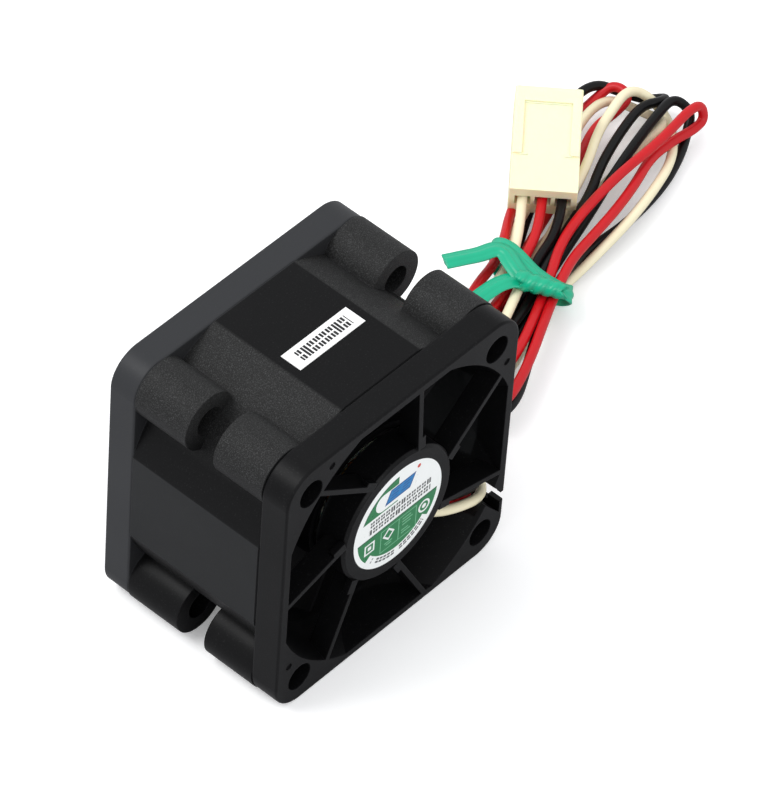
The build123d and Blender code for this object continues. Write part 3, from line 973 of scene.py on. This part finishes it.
@dataclass
class Plug:
    """The white three-way connector: where it lies, and its ways."""

    place: Point = (0.06198, 0.0165, 0.00575)
    turn: float = 39.3
    tilt: float = 15.5
    way_pitch: float = 2.54
    tail_in: float = 3.2
    tail_out: float = 3.4
    height: float = 6.2
    edge: float = 0.00016
    rail_low: float = 5.1
    line_at: float = 12.7
    panel_half: float = 3.05
    panel_drop: float = 0.35
    sink: float = 0.2
    line_wide: float = 0.22
    line_rise: float = 0.12
    rail_along: Spot = (-0.12, 0.16)
    rail_across: Spot = (-0.75, 0.3)
    rail_rise: float = 0.16

    def pose(self) -> Matrix:
        """Give the plug's place and turn as a matrix in metres.

        Returns:
            The matrix from the plug's own millimetres to the row frame.
        """
        turned = Matrix.Rotation(math.radians(self.turn), 4, "Z")
        tilted = Matrix.Rotation(-math.radians(self.tilt), 4, "Y")
        return Matrix.Translation(self.place) @ turned @ tilted @ Matrix.Scale(MM, 4)

    def way(self, colour: WireColour) -> float:
        """Say where a wire's way lies across the plug.

        Args:
            colour: The wire.

        Returns:
            The place across, in millimetres.
        """
        return self.way_pitch * (list(WireColour).index(colour) - 1)

    def tail(self, colour: WireColour) -> list[Point]:
        """Give the last two points of a wire, outside the plug and inside its terminal.

        Args:
            colour: The wire.

        Returns:
            Two points in metres.
        """
        across = self.way(colour)
        pose = self.pose()
        return [tuple(pose @ Vector((along, across, 0))) for along in (-self.tail_out, self.tail_in)]

    def rib(self, builder: bmesh.types.BMesh, low: Point, high: Point) -> None:
        """Add a small block in the plug's own millimetres.

        Args:
            builder: The bmesh that takes it.
            low: Its low corner.
            high: Its high corner.
        """
        middle = [(a + b) / 2 for a, b in zip(low, high)]
        size = [b - a for a, b in zip(low, high)]
        bmesh.ops.create_cube(builder, matrix=Matrix.Translation(middle) @ Matrix.Diagonal((*size, 1)))

    def build(self, nylon: bpy.types.Material) -> bpy.types.Object:
        """Soften the edges of the housing and add its small ribs.

        Args:
            nylon: The finish.

        Returns:
            The housing.
        """
        builder = bmesh.new()
        builder.from_mesh(frame["nodes"]["connector_housing"].data)
        bmesh.ops.remove_doubles(builder, verts=builder.verts, dist=0.000002)
        bmesh.ops.dissolve_limit(builder, angle_limit=math.radians(1.5), verts=builder.verts, edges=builder.edges)
        top = self.height / 2 - self.panel_drop
        ribs = bmesh.new()
        self.rib(ribs, (self.line_at - self.line_wide, -self.panel_half, top - self.sink),
                 (self.line_at, self.panel_half, top + self.line_rise))
        back, ahead = (self.rail_low + step for step in self.rail_along)
        for side in (-1, 1):
            low_y, high_y = sorted(side * (self.panel_half + step) for step in self.rail_across)
            self.rib(ribs, (back, low_y, top - self.sink), (ahead, high_y, top + self.rail_rise))
        bmesh.ops.transform(ribs, matrix=self.pose(), verts=ribs.verts)
        rib_mesh = bpy.data.meshes.new("ribs")
        ribs.to_mesh(rib_mesh)
        ribs.free()
        builder.from_mesh(rib_mesh)
        bpy.data.meshes.remove(rib_mesh)
        rough = mesh_object("connector_rough", builder, smooth=False)
        bevel = rough.modifiers.new("soft edges", "BEVEL")
        bevel.width = self.edge
        bevel.segments = 2
        bevel.limit_method = "ANGLE"
        bevel.angle_limit = math.radians(35)
        made = plain_mesh(rough, "connector_body")
        made.data.materials.clear()
        made.data.materials.append(nylon)
        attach(made, "housing")
        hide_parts("connector_housing")
        log.info("connector_body: %d faces", len(made.data.polygons))
        return made


@dataclass
class Hank:
    """The lead: three wires from the motor, folded five times and tied, each one smooth line."""

    place: tuple[float, float] = (52.6, 10.4)
    turn: float = 18.0
    diameter: float = 0.0013
    length: float = 0.325
    exit: Point = (0.020, -0.011, 0.007)
    gather_x: float = 1.6
    gather_side: float = 1.5
    gather_share: float = 0.56
    gather_z: float = 4.0
    starts: dict[WireColour, list[Point]] = field(default_factory=lambda: {
        WireColour.CREAM: [
            (0.0035, -0.01075, 0.0139), (0.0080, -0.01115, 0.0117), (0.0124, -0.0121, 0.0093),
            (0.0191, -0.0125, 0.0074), (0.0218, -0.0056, 0.0071), (0.0256, -0.0013, 0.0032),
            (0.03097, 0.0019, 0.0019),
        ],
        WireColour.BLACK: [
            (0.0058, -0.01075, 0.0161), (0.0090, -0.01045, 0.0138), (0.0128, -0.0110, 0.0102),
            (0.0195, -0.01145, 0.00865), (0.0215, -0.0047, 0.0087), (0.0249, 0.0002, 0.0049),
            (0.03052, 0.00328, 0.0032),
        ],
        WireColour.RED: [
            (0.0049, -0.01075, 0.01495), (0.0085, -0.0099, 0.0127), (0.0123, -0.01065, 0.0089),
            (0.0178, -0.01105, 0.00685), (0.0204, -0.0049, 0.0063), (0.0242, 0.0015, 0.0032),
            (0.03008, 0.00466, 0.0019),
        ],
    })
    folds: dict[WireColour, list[Point]] = field(default_factory=lambda: {
        WireColour.RED: [
            (-19.0, 3.6, 1.56), (-12.5, 5.1, 2.07), (-5.0, 5.3, 3.45), (0.0, 4.4, 4.04), (4.5, 5.2, 3.92),
            (9.5, 6.6, 2.88), (15.5, 7.4, 2.19), (23.1, 6.9, 1.81), (30.2, 6.3, 2.02), (33.9, 5.1, 2.84),
            (35.9, 3.6, 4.20), (35.2, 0.9, 3.90), (32.2, 1.7, 3.10), (28.6, 3.3, 2.80), (22.1, 2.7, 2.49),
            (12.1, 2.6, 2.18), (5.1, 2.5, 2.56), (0.1, 1.9, 2.68), (-4.9, 1.3, 2.51), (-11.8, 1.7, 2.27),
            (-18.7, 0.9, 2.56), (-24.4, -1.8, 3.49), (-22.5, -6.2, 3.85), (-14.7, -6.2, 3.96),
            (-5.4, -4.8, 4.30), (0.0, -4.2, 4.35), (4.6, -3.9, 4.36), (9.5, -4.6, 4.18), (15.0, -5.4, 4.12),
            (20.5, -5.8, 4.08), (26.0, -5.6, 3.86), (31.0, -7.0, 3.33), (33.9, -8.3, 3.00), (36.3, -8.9, 3.10),
            (36.3, -8.2, 5.60), (33.8, -7.3, 5.90), (31.0, -6.8, 5.77), (26.4, -5.8, 5.64), (21.0, -4.1, 5.62),
            (15.0, -2.8, 5.52), (9.7, -2.0, 5.33), (5.0, -1.9, 5.05), (0.0, -2.8, 4.35), (-6.0, -3.6, 4.26),
            (-13.0, -4.2, 4.09), (-19.5, -3.6, 4.23), (-24.4, -0.8, 4.79), (-21.4, 2.9, 5.22), (-13.0, 1.8, 4.93),
            (-6.0, 1.4, 4.15), (0.0, 1.2, 3.57),
        ],
        WireColour.BLACK: [
            (-18.0, 2.1, 3.13), (-12.0, 3.2, 2.93), (-5.5, 3.9, 2.40), (0.0, 3.3, 2.16), (5.0, 3.6, 1.95),
            (11.0, 4.9, 1.55), (18.0, 5.8, 1.80), (26.0, 6.8, 3.08), (30.9, 7.4, 4.16), (34.8, 5.8, 4.32),
            (36.1, 2.9, 2.98), (37.1, -0.5, 2.09), (37.8, -3.1, 3.06), (35.9, -3.1, 4.02), (33.9, -1.0, 4.14),
            (28.2, -0.5, 4.04), (22.0, -0.5, 3.83), (16.0, -1.4, 3.70), (10.0, -1.1, 3.74), (4.0, -1.2, 3.73),
            (0.0, -1.6, 3.92), (-5.9, -1.9, 3.43), (-13.4, -0.7, 3.04), (-19.9, -0.9, 3.04),
            (-23.9, -3.8, 2.58), (-20.4, -7.0, 1.98), (-10.9, -5.1, 2.41), (0.1, -3.2, 2.87),
            (8.1, -4.1, 2.26), (16.1, -6.7, 1.33), (24.1, -8.2, 1.13), (30.1, -8.2, 1.46), (34.1, -7.5, 2.08),
            (36.8, -6.9, 3.33), (36.8, -4.2, 4.58), (32.4, -3.6, 4.60), (26.0, -2.9, 4.11), (20.0, -2.5, 3.49),
            (14.0, -2.3, 2.76), (6.0, -2.0, 2.63), (0.0, -1.9, 2.51), (-7.0, -2.4, 2.00), (-15.0, -2.3, 1.39),
            (-21.5, -1.2, 1.88), (-24.2, 2.3, 3.04), (-18.5, 4.6, 4.42), (-10.0, 0.7, 3.44),
            (-5.0, -0.5, 2.85), (0.0, -0.7, 2.75),
        ],
        WireColour.CREAM: [
            (-18.6, -3.1, 1.34), (-11.1, -3.7, 1.23), (-5.1, -3.3, 1.12), (-0.1, -3.1, 1.16),
            (4.9, -4.7, 1.67), (10.2, -6.1, 2.35), (15.9, -7.3, 2.69), (22.2, -7.9, 2.70), (27.9, -7.9, 2.59),
            (32.9, -6.1, 1.96), (36.1, -3.6, 1.89), (36.5, -0.3, 3.94), (34.5, 1.4, 5.15), (30.3, 1.6, 5.31),
            (25.9, 1.7, 5.16), (20.5, 0.8, 4.71), (14.0, 0.6, 3.74), (7.0, 0.6, 2.76), (0.0, 0.7, 2.28),
            (-6.1, 0.2, 1.60), (-13.1, -0.6, 0.84), (-20.1, 0.3, 0.64), (-24.1, 4.1, 1.30), (-18.1, 6.1, 2.63),
            (-8.1, 3.7, 3.91), (-0.1, 2.8, 3.52), (4.4, 4.1, 3.25), (9.0, 5.2, 2.91), (15.0, 5.0, 2.82),
            (24.0, 4.9, 2.85), (30.5, 5.1, 2.94), (34.6, 3.8, 2.62), (35.5, 0.6, 1.61), (34.8, -2.4, 2.00),
            (33.5, -4.7, 3.07), (29.6, -3.6, 3.02), (24.8, -2.7, 2.68), (19.0, -1.5, 2.04), (13.0, 0.5, 1.40),
            (6.9, 1.7, 1.10), (-0.1, 1.6, 1.04), (-8.1, 1.8, 1.06), (-17.2, 3.2, 2.00), (-22.8, 1.9, 4.14),
            (-18.1, -1.6, 5.13), (-8.1, -0.7, 5.11), (-0.1, 0.2, 4.90),
        ],
    })

    def spot(self, along: float, across: float, height: float) -> Point:
        """Turn a place on the hank, in millimetres, into the row frame.

        Args:
            along: Distance from the tie along the hank.
            across: Distance across it.
            height: Height above the floor.

        Returns:
            The point in metres.
        """
        c, s = math.cos(math.radians(self.turn)), math.sin(math.radians(self.turn))
        return (
            (self.place[0] + along * c - across * s) * MM,
            (self.place[1] + along * s + across * c) * MM,
            height * MM,
        )

    def wire(self, colour: WireColour, plug: Plug, finish: bpy.types.Material) -> bpy.types.Object:
        """Lay one wire from its solder pad, through every fold, into its terminal.

        Args:
            colour: The wire.
            plug: The connector that it ends in.
            finish: Its insulation.

        Returns:
            The wire, as one open curve.
        """
        side = self.gather_side + self.gather_share * plug.way(colour)
        gather = self.spot(self.gather_x, side, self.gather_z)
        points = self.starts[colour] + [self.spot(*place) for place in self.folds[colour]]
        points += [gather, *plug.tail(colour)]
        data = bpy.data.curves.new(f"wire_{colour.value}", "CURVE")
        data.dimensions = "3D"
        data.bevel_depth = self.diameter / 2
        data.bevel_resolution = 4
        data.resolution_u = 10
        data.use_fill_caps = True
        line = data.splines.new("NURBS")
        line.points.add(len(points) - 1)
        for held, point in zip(line.points, points):
            held.co = (*point, 1.0)
        line.order_u = 3
        line.use_endpoint_u = True
        data.materials.append(finish)
        made = link(f"wire_{colour.value}", data)
        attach(made, "housing")
        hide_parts(f"lead_{colour.value}", f"tail_{colour.value}", "lead_hank")
        log.info("%s: %d points", made.name, len(points))
        return made


@dataclass
class TwistTie:
    """The green tie: a flat strip with a round core, looped around the waist of the hank and twisted on top."""

    width: float = 2.5
    thick: float = 0.4
    core_r: float = 0.42
    core_rise: float = 0.48
    core_foot: float = 1.45
    core_angles: tuple[float, ...] = (0.25, 0.8, 1.57, 2.34, 2.89)
    twist_width: float = 1.9
    twist_start: Point = (-3.9, -0.3, 6.7)
    twist_end: Point = (-2.6, -5.6, 5.9)
    twist_wide: float = 1.0
    twist_turns: float = 2.0
    twist_from: float = 0.6
    twist_taper: float = 0.3
    twist_steps: int = 48
    long_tail: list[Point] = field(default_factory=lambda: [
        (-5.5, 9.2, 6.9), (-4.0, 7.6, 6.9), (-2.4, 5.9, 6.9), (-0.7, 4.5, 6.9), (-0.6, 3.2, 6.9),
        (-1.7, 1.9, 6.9), (-2.8, 0.5, 6.8), (-3.5, -0.9, 6.5), (-3.4, -2.2, 6.2),
    ])
    short_tail: list[Point] = field(default_factory=lambda: [
        (-10.2, 3.9, 5.9), (-8.8, 3.3, 6.1), (-7.2, 2.6, 6.3), (-5.7, 1.8, 6.5), (-4.4, 0.6, 6.6),
        (-3.6, -0.9, 6.4),
    ])
    band: list[Point] = field(default_factory=lambda: [
        (1.5, 4.6, 5.4), (0.9, 3.2, 5.9), (0.0, 1.6, 6.1), (-0.9, 0.0, 6.1), (-1.5, -1.6, 5.9),
        (-1.8, -3.4, 5.6), (-1.7, -4.9, 5.2), (-1.2, -5.7, 4.4), (-0.3, -5.9, 3.3), (0.5, -5.4, 2.0),
        (0.9, -4.5, 1.0), (1.0, -3.0, 0.44), (1.1, 0.0, 0.4), (1.4, 2.6, 0.44), (1.8, 4.6, 0.8),
        (2.0, 5.6, 1.8), (2.1, 6.0, 3.1), (1.9, 5.6, 4.5),
    ])

    def strip(self, name: str, line: list[Vector], sides: list[Vector], closed: bool = False,
              width: float = 0.0) -> bpy.types.Object:
        """Sweep the tie's section, flat with a round middle, along a line.

        Args:
            name: The piece's name.
            line: Centre points in millimetres.
            sides: Directions across the strip, one for each point.
            closed: Whether the end joins the start.
            width: Width of the strip, or 0 for the tie's own.

        Returns:
            The strip as a mesh object.
        """
        half = (width or self.width) / 2
        t = self.thick / 2
        r = self.core_r
        shoulder, foot = half - t * 0.3, r * self.core_foot
        upper = [(-half, 0.0), (-shoulder, t * 0.7), (-foot, t * 0.8)]
        upper += [(-r * math.cos(a), t * 0.9 + r * self.core_rise * math.sin(a)) for a in self.core_angles]
        upper += [(foot, t * 0.8), (shoulder, t * 0.7)]
        section = upper + [(half, 0.0)] + [(u, -v) for u, v in reversed(upper[1:])]
        builder = bmesh.new()
        rings = []
        count = len(line)
        for k, (centre, side) in enumerate(zip(line, sides)):
            before = line[k - 1] if k or closed else line[k]
            after = line[(k + 1) % count] if k < count - 1 or closed else line[k]
            ahead = (after - before).normalized()
            flat = (side - ahead * side.dot(ahead)).normalized()
            up = ahead.cross(flat)
            rings.append([builder.verts.new((centre + flat * u + up * v) * MM) for u, v in section])
        pairs = list(zip(rings, rings[1:])) + ([(rings[-1], rings[0])] if closed else [])
        for first, second in pairs:
            for k in range(len(section)):
                nxt = (k + 1) % len(section)
                builder.faces.new((first[k], first[nxt], second[nxt], second[k]))
        if not closed:
            builder.faces.new(rings[0])
            builder.faces.new(list(reversed(rings[-1])))
        bmesh.ops.recalc_face_normals(builder, faces=builder.faces)
        return mesh_object(name, builder)

    def span(self, a: Vector, b: Vector, c: Vector, d: Vector, steps: int) -> list[Vector]:
        """Draw the smooth line between two points.

        Args:
            a: The point before them.
            b: The first of the two.
            c: The second of the two.
            d: The point after them.
            steps: How many places are given.

        Returns:
            Places from the first point up to just before the second.
        """
        line = []
        for j in range(steps):
            t = j / steps
            line.append(0.5 * (2 * b + (c - a) * t + (2 * a - 5 * b + 4 * c - d) * t ** 2
                               + (3 * b - a - 3 * c + d) * t ** 3))
        return line

    def smooth(self, points: list[Vector], steps: int = 6) -> list[Vector]:
        """Draw a smooth line through points.

        Args:
            points: The points.
            steps: Places on each span.

        Returns:
            The smooth line.
        """
        line = []
        last = len(points) - 1
        for k in range(last):
            line += self.span(points[max(k - 1, 0)], points[k], points[k + 1], points[min(k + 2, last)], steps)
        return line + [points[-1]]

    def loop(self) -> tuple[list[Vector], list[Vector]]:
        """Give the closed line around the waist, in the hank's own millimetres.

        Returns:
            The line and the directions across the strip.
        """
        points = [Vector(place) for place in self.band]
        count = len(points)
        line = []
        for k in range(count):
            span = [points[(k + j) % count] for j in (-1, 0, 1, 2)]
            line += self.span(*span, 5)
        return line, [Vector((1.0, 0.35, 0.0))] * len(line)

    def knot(self) -> list[tuple[list[Vector], list[Vector]]]:
        """Give the two strands that twist about each other on top.

        Returns:
            A line and its side directions for each strand.
        """
        start, end = Vector(self.twist_start), Vector(self.twist_end)
        along = (end - start).normalized()
        side = along.cross(Vector((0, 0, 1))).normalized()
        up = side.cross(along)
        made = []
        for phase in (0.0, math.pi):
            line, sides = [], []
            for k in range(self.twist_steps):
                t = k / (self.twist_steps - 1)
                turn = phase + self.twist_from + t * 2 * math.pi * self.twist_turns
                wide = self.twist_wide * (1 - self.twist_taper * t)
                out = side * math.cos(turn) + up * math.sin(turn)
                line.append(start + (end - start) * t + out * wide)
                sides.append(side * -math.sin(turn) + up * math.cos(turn))
            made.append((line, sides))
        return made

    def build(self, hank: Hank, finish: bpy.types.Material) -> bpy.types.Object:
        """Make the tie from its loop, its twist and its two tails.

        Args:
            hank: The hank that it holds.
            finish: The green plastic.

        Returns:
            The tie.
        """
        parts = [self.strip("tie_loop", *self.loop(), closed=True)]
        for number, (line, sides) in enumerate(self.knot()):
            parts.append(self.strip(f"tie_twist_{number}", line, sides, width=self.twist_width))
        for name, points in (("tie_long_tail", self.long_tail), ("tie_short_tail", self.short_tail)):
            line = self.smooth([Vector(p) for p in points])
            sides = []
            for k in range(len(line)):
                ahead = (line[min(k + 1, len(line) - 1)] - line[max(k - 1, 0)]).normalized()
                sides.append(ahead.cross(Vector((0, 0, 1))))
            parts.append(self.strip(name, line, sides))
        builder = bmesh.new()
        for part in parts:
            builder.from_mesh(part.data)
            bpy.data.objects.remove(part)
        turn = Matrix.Rotation(math.radians(hank.turn), 4, "Z")
        shift = Matrix.Translation((hank.place[0] * MM, hank.place[1] * MM, 0))
        bmesh.ops.transform(builder, matrix=shift @ turn, verts=builder.verts)
        made = mesh_object("twist_tie_strip", builder)
        made.data.materials.append(finish)
        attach(made, "housing")
        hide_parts("twist_tie")
        log.info("twist_tie_strip: %d faces", len(made.data.polygons))
        return made


@dataclass
class Coils:
    """The four windings, made of single turns of copper wire by geometry nodes."""

    wire_d: float = 0.00022
    inner_r: float = 0.0047
    outer_r: float = 0.00605
    half_length: float = 0.0031
    half_width: float = 0.0013
    layers: int = 4
    corner: float = 0.0004
    clear: float = 0.6
    drawn: float = 0.96

    def tree(self, finish: bpy.types.Material) -> bpy.types.NodeTree:
        """Build the node tree of one layer: a rounded loop, repeated along the neck of a pole.

        Args:
            finish: The copper.

        Returns:
            The node tree.
        """
        tree = bpy.data.node_groups.new("winding", "GeometryNodeTree")
        sockets = [("Geometry", "Geometry"), ("Turns", "Int")]
        sockets += [(name, "Float") for name in ("Wire", "Length", "Width", "Corner", "Span")]
        for name, kind in sockets:
            tree.interface.new_socket(name, in_out="INPUT", socket_type=f"NodeSocket{kind}")
        tree.interface.new_socket("Geometry", in_out="OUTPUT", socket_type="NodeSocketGeometry")
        g = Tree(tree)
        given = g.add("NodeGroupInput").outputs
        shape = g.chain("GeometryNodeCurvePrimitiveQuadrilateral", {"Width": given["Length"], "Height": given["Width"]})
        loop = g.chain("GeometryNodeFilletCurve", {"Curve": shape, "Radius": given["Corner"], "Count": 3}, mode="POLY")
        half = g.chain("ShaderNodeMath", {0: given["Wire"], 1: 0.5}, operation="MULTIPLY")
        section = g.chain("GeometryNodeCurvePrimitiveCircle", {"Radius": half, "Resolution": 6})
        turn = g.chain("GeometryNodeCurveToMesh", {"Curve": loop, "Profile Curve": section})
        end = g.chain("ShaderNodeCombineXYZ", {"Z": given["Span"]})
        row = g.chain("GeometryNodeMeshLine", {"Count": given["Turns"], "Offset": end},
                      mode="END_POINTS", count_mode="TOTAL")
        copies = g.chain("GeometryNodeInstanceOnPoints", {"Points": row, "Instance": turn})
        real = g.chain("GeometryNodeRealizeInstances", {0: copies})
        painted = g.chain("GeometryNodeSetMaterial", {"Geometry": real, "Material": finish})
        g.feed(g.add("NodeGroupOutput").inputs[0], painted)
        return tree

    def wind(self, tree: bpy.types.NodeTree) -> bmesh.types.BMesh:
        """Wind the layers of one coil over each other.

        Args:
            tree: The node tree of a layer.

        Returns:
            The coil, with its axis along Z.
        """
        keys = {item.name: item.identifier for item in tree.interface.items_tree if item.in_out == "INPUT"}
        span = self.outer_r - self.inner_r - self.wire_d * 2 * self.clear
        builder = bmesh.new()
        for layer in range(self.layers):
            grow = self.wire_d * layer + self.wire_d * self.clear
            mesh = bpy.data.meshes.new("layer")
            holder = link("layer", mesh)
            modifier = holder.modifiers.new("winding", "NODES")
            modifier.node_group = tree
            modifier[keys["Wire"]] = self.wire_d * self.drawn
            modifier[keys["Length"]] = 2 * (self.half_length + grow)
            modifier[keys["Width"]] = 2 * (self.half_width + grow)
            modifier[keys["Corner"]] = self.corner + grow
            modifier[keys["Span"]] = span
            modifier[keys["Turns"]] = int(span / self.wire_d)
            mesh.update_tag()
            wound = plain_mesh(holder, "layer_done")
            builder.from_mesh(wound.data)
            bpy.data.objects.remove(wound)
        return builder

    def build(self, finish: bpy.types.Material) -> None:
        """Wind the four coils and put each in the place of its CAD node.

        Args:
            finish: The copper.
        """
        tree = self.tree(finish)
        foot = self.inner_r + self.wire_d * self.clear
        stand = Matrix(((0, 0, 1, foot), (1, 0, 0, 0), (0, 1, 0, 0), (0, 0, 0, 1)))
        for number in range(1, 5):
            low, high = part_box(f"coil_{number}")
            middle = (low + high) / 2
            builder = self.wind(tree)
            spin = Matrix.Rotation(-math.pi / 2 * (number - 1), 4, "Y")
            put = Matrix.Translation((0, middle.y, AXIS_HEIGHT))
            bmesh.ops.transform(builder, matrix=put @ spin @ stand, verts=builder.verts)
            made = mesh_object(f"winding_{number}", builder)
            log.info("winding_%d: %d faces", number, len(made.data.polygons))
            made.data.materials.append(finish)
            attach(made, "housing")
            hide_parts(f"coil_{number}")


class Finishes:
    """Every finish of the fan, and which CAD nodes wear it."""

    def __init__(self) -> None:
        """Build the materials and list their nodes."""
        brass = Metal("turned brass", tone(214, 178, 102), 0.28).material()
        steel = Metal("ground steel", tone(196, 198, 202), 0.26).material()
        polished = Metal("polished balls", tone(220, 222, 226), 0.1, tarnish=0.05).material()
        plated = Metal("plated steel", tone(172, 174, 178), 0.36).material()
        tin = Metal("tin plate", tone(206, 204, 196), 0.3).material()
        solder = Metal("solder", tone(190, 192, 194), 0.24, 300.0).material()
        natural = Moulding("natural nylon", tone(226, 222, 206), 0.5, glow=0.1).material()
        self.copper = Winding().material()
        self.nylon = Moulding("connector nylon", tone(250, 242, 204), roughness=0.46, gloss=0.35,
                              grain_scale=2600.0, grain_depth=0.000012, mottle=0.02, glow=0.25).material()
        self.tie = Moulding("tie plastic", tone(8, 176, 134), 0.34, 0.5, 1500.0, 0.00002, 0.1).material()
        cream = Insulation("cream insulation", tone(248, 240, 208), tone(236, 226, 190))
        black = Insulation("black insulation", tone(11, 11, 12), tone(6, 6, 7), 0.32, 0.24)
        red = Insulation("red insulation", tone(206, 10, 24), tone(186, 4, 16))
        self.wires = {
            WireColour.CREAM: cream.material(), WireColour.BLACK: black.material(), WireColour.RED: red.material(),
        }
        rotor = Moulding("rotor black plastic", tone(8, 8, 9), 0.42, 0.1, 4200.0, 0.000008).material()
        chip = Moulding("chip package", tone(34, 34, 35), 0.5, 0.4, 2600.0, 0.000012).material()
        tan = Moulding("chip ceramic", tone(178, 150, 112), 0.55).material()
        ferrite = Moulding("bonded ferrite", tone(58, 57, 58), 0.6, 0.3, 2200.0, 0.00002).material()
        self.worn_by: dict[str, bpy.types.Material] = {
            "frame_housing": FrameMoulding().material(),
            "impeller": rotor,
            "bearing_tube": brass,
            "shaft_bush": brass,
            "shaft": steel,
            "retaining_clip": plated,
            "preload_spring": plated,
            "rotor_yoke": plated,
            "magnet_ring": ferrite,
            "stator_core": Laminations().material(),
            "stator_insulator_front": natural,
            "stator_insulator_rear": natural,
            "circuit_board": BoardResist().material(),
            "winding_pins": tin,
            "hall_driver_ic": chip,
            "chip_resistor": chip,
            "chip_capacitor": tan,
            "solder_joints": solder,
            "hub_label": LabelPrint().material(),
            "side_sticker": StickerPrint().material(),
        }
        for colour in WireColour:
            self.worn_by[f"terminal_{colour.value}"] = tin
        for end in ("front", "rear"):
            self.worn_by[f"{end}_bearing_outer_ring"] = steel
            self.worn_by[f"{end}_bearing_inner_ring"] = steel
            self.worn_by[f"{end}_bearing_shields"] = plated
            self.worn_by[f"{end}_bearing_balls"] = polished
            self.worn_by[f"{end}_bearing_cage"] = brass

    def dress(self) -> None:
        """Put each finish on its CAD nodes."""
        for name, material in self.worn_by.items():
            node = frame["nodes"][name]
            node.data.materials.clear()
            node.data.materials.append(material)
        log.info("%d CAD nodes dressed", len(self.worn_by))


def main() -> None:
    """Build the studio, the wires and every other piece, in order."""
    logging.basicConfig(level=logging.INFO, format="%(name)s: %(message)s")
    Studio().build()
    finishes = Finishes()
    plug = Plug()
    hank = Hank()
    wires = {colour: hank.wire(colour, plug, finishes.wires[colour]) for colour in WireColour}
    body = plug.build(finishes.nylon)
    tie = TwistTie().build(hank, finishes.tie)
    Coils().build(finishes.copper)
    finishes.dress()


if __name__ == "__main__":
    main()
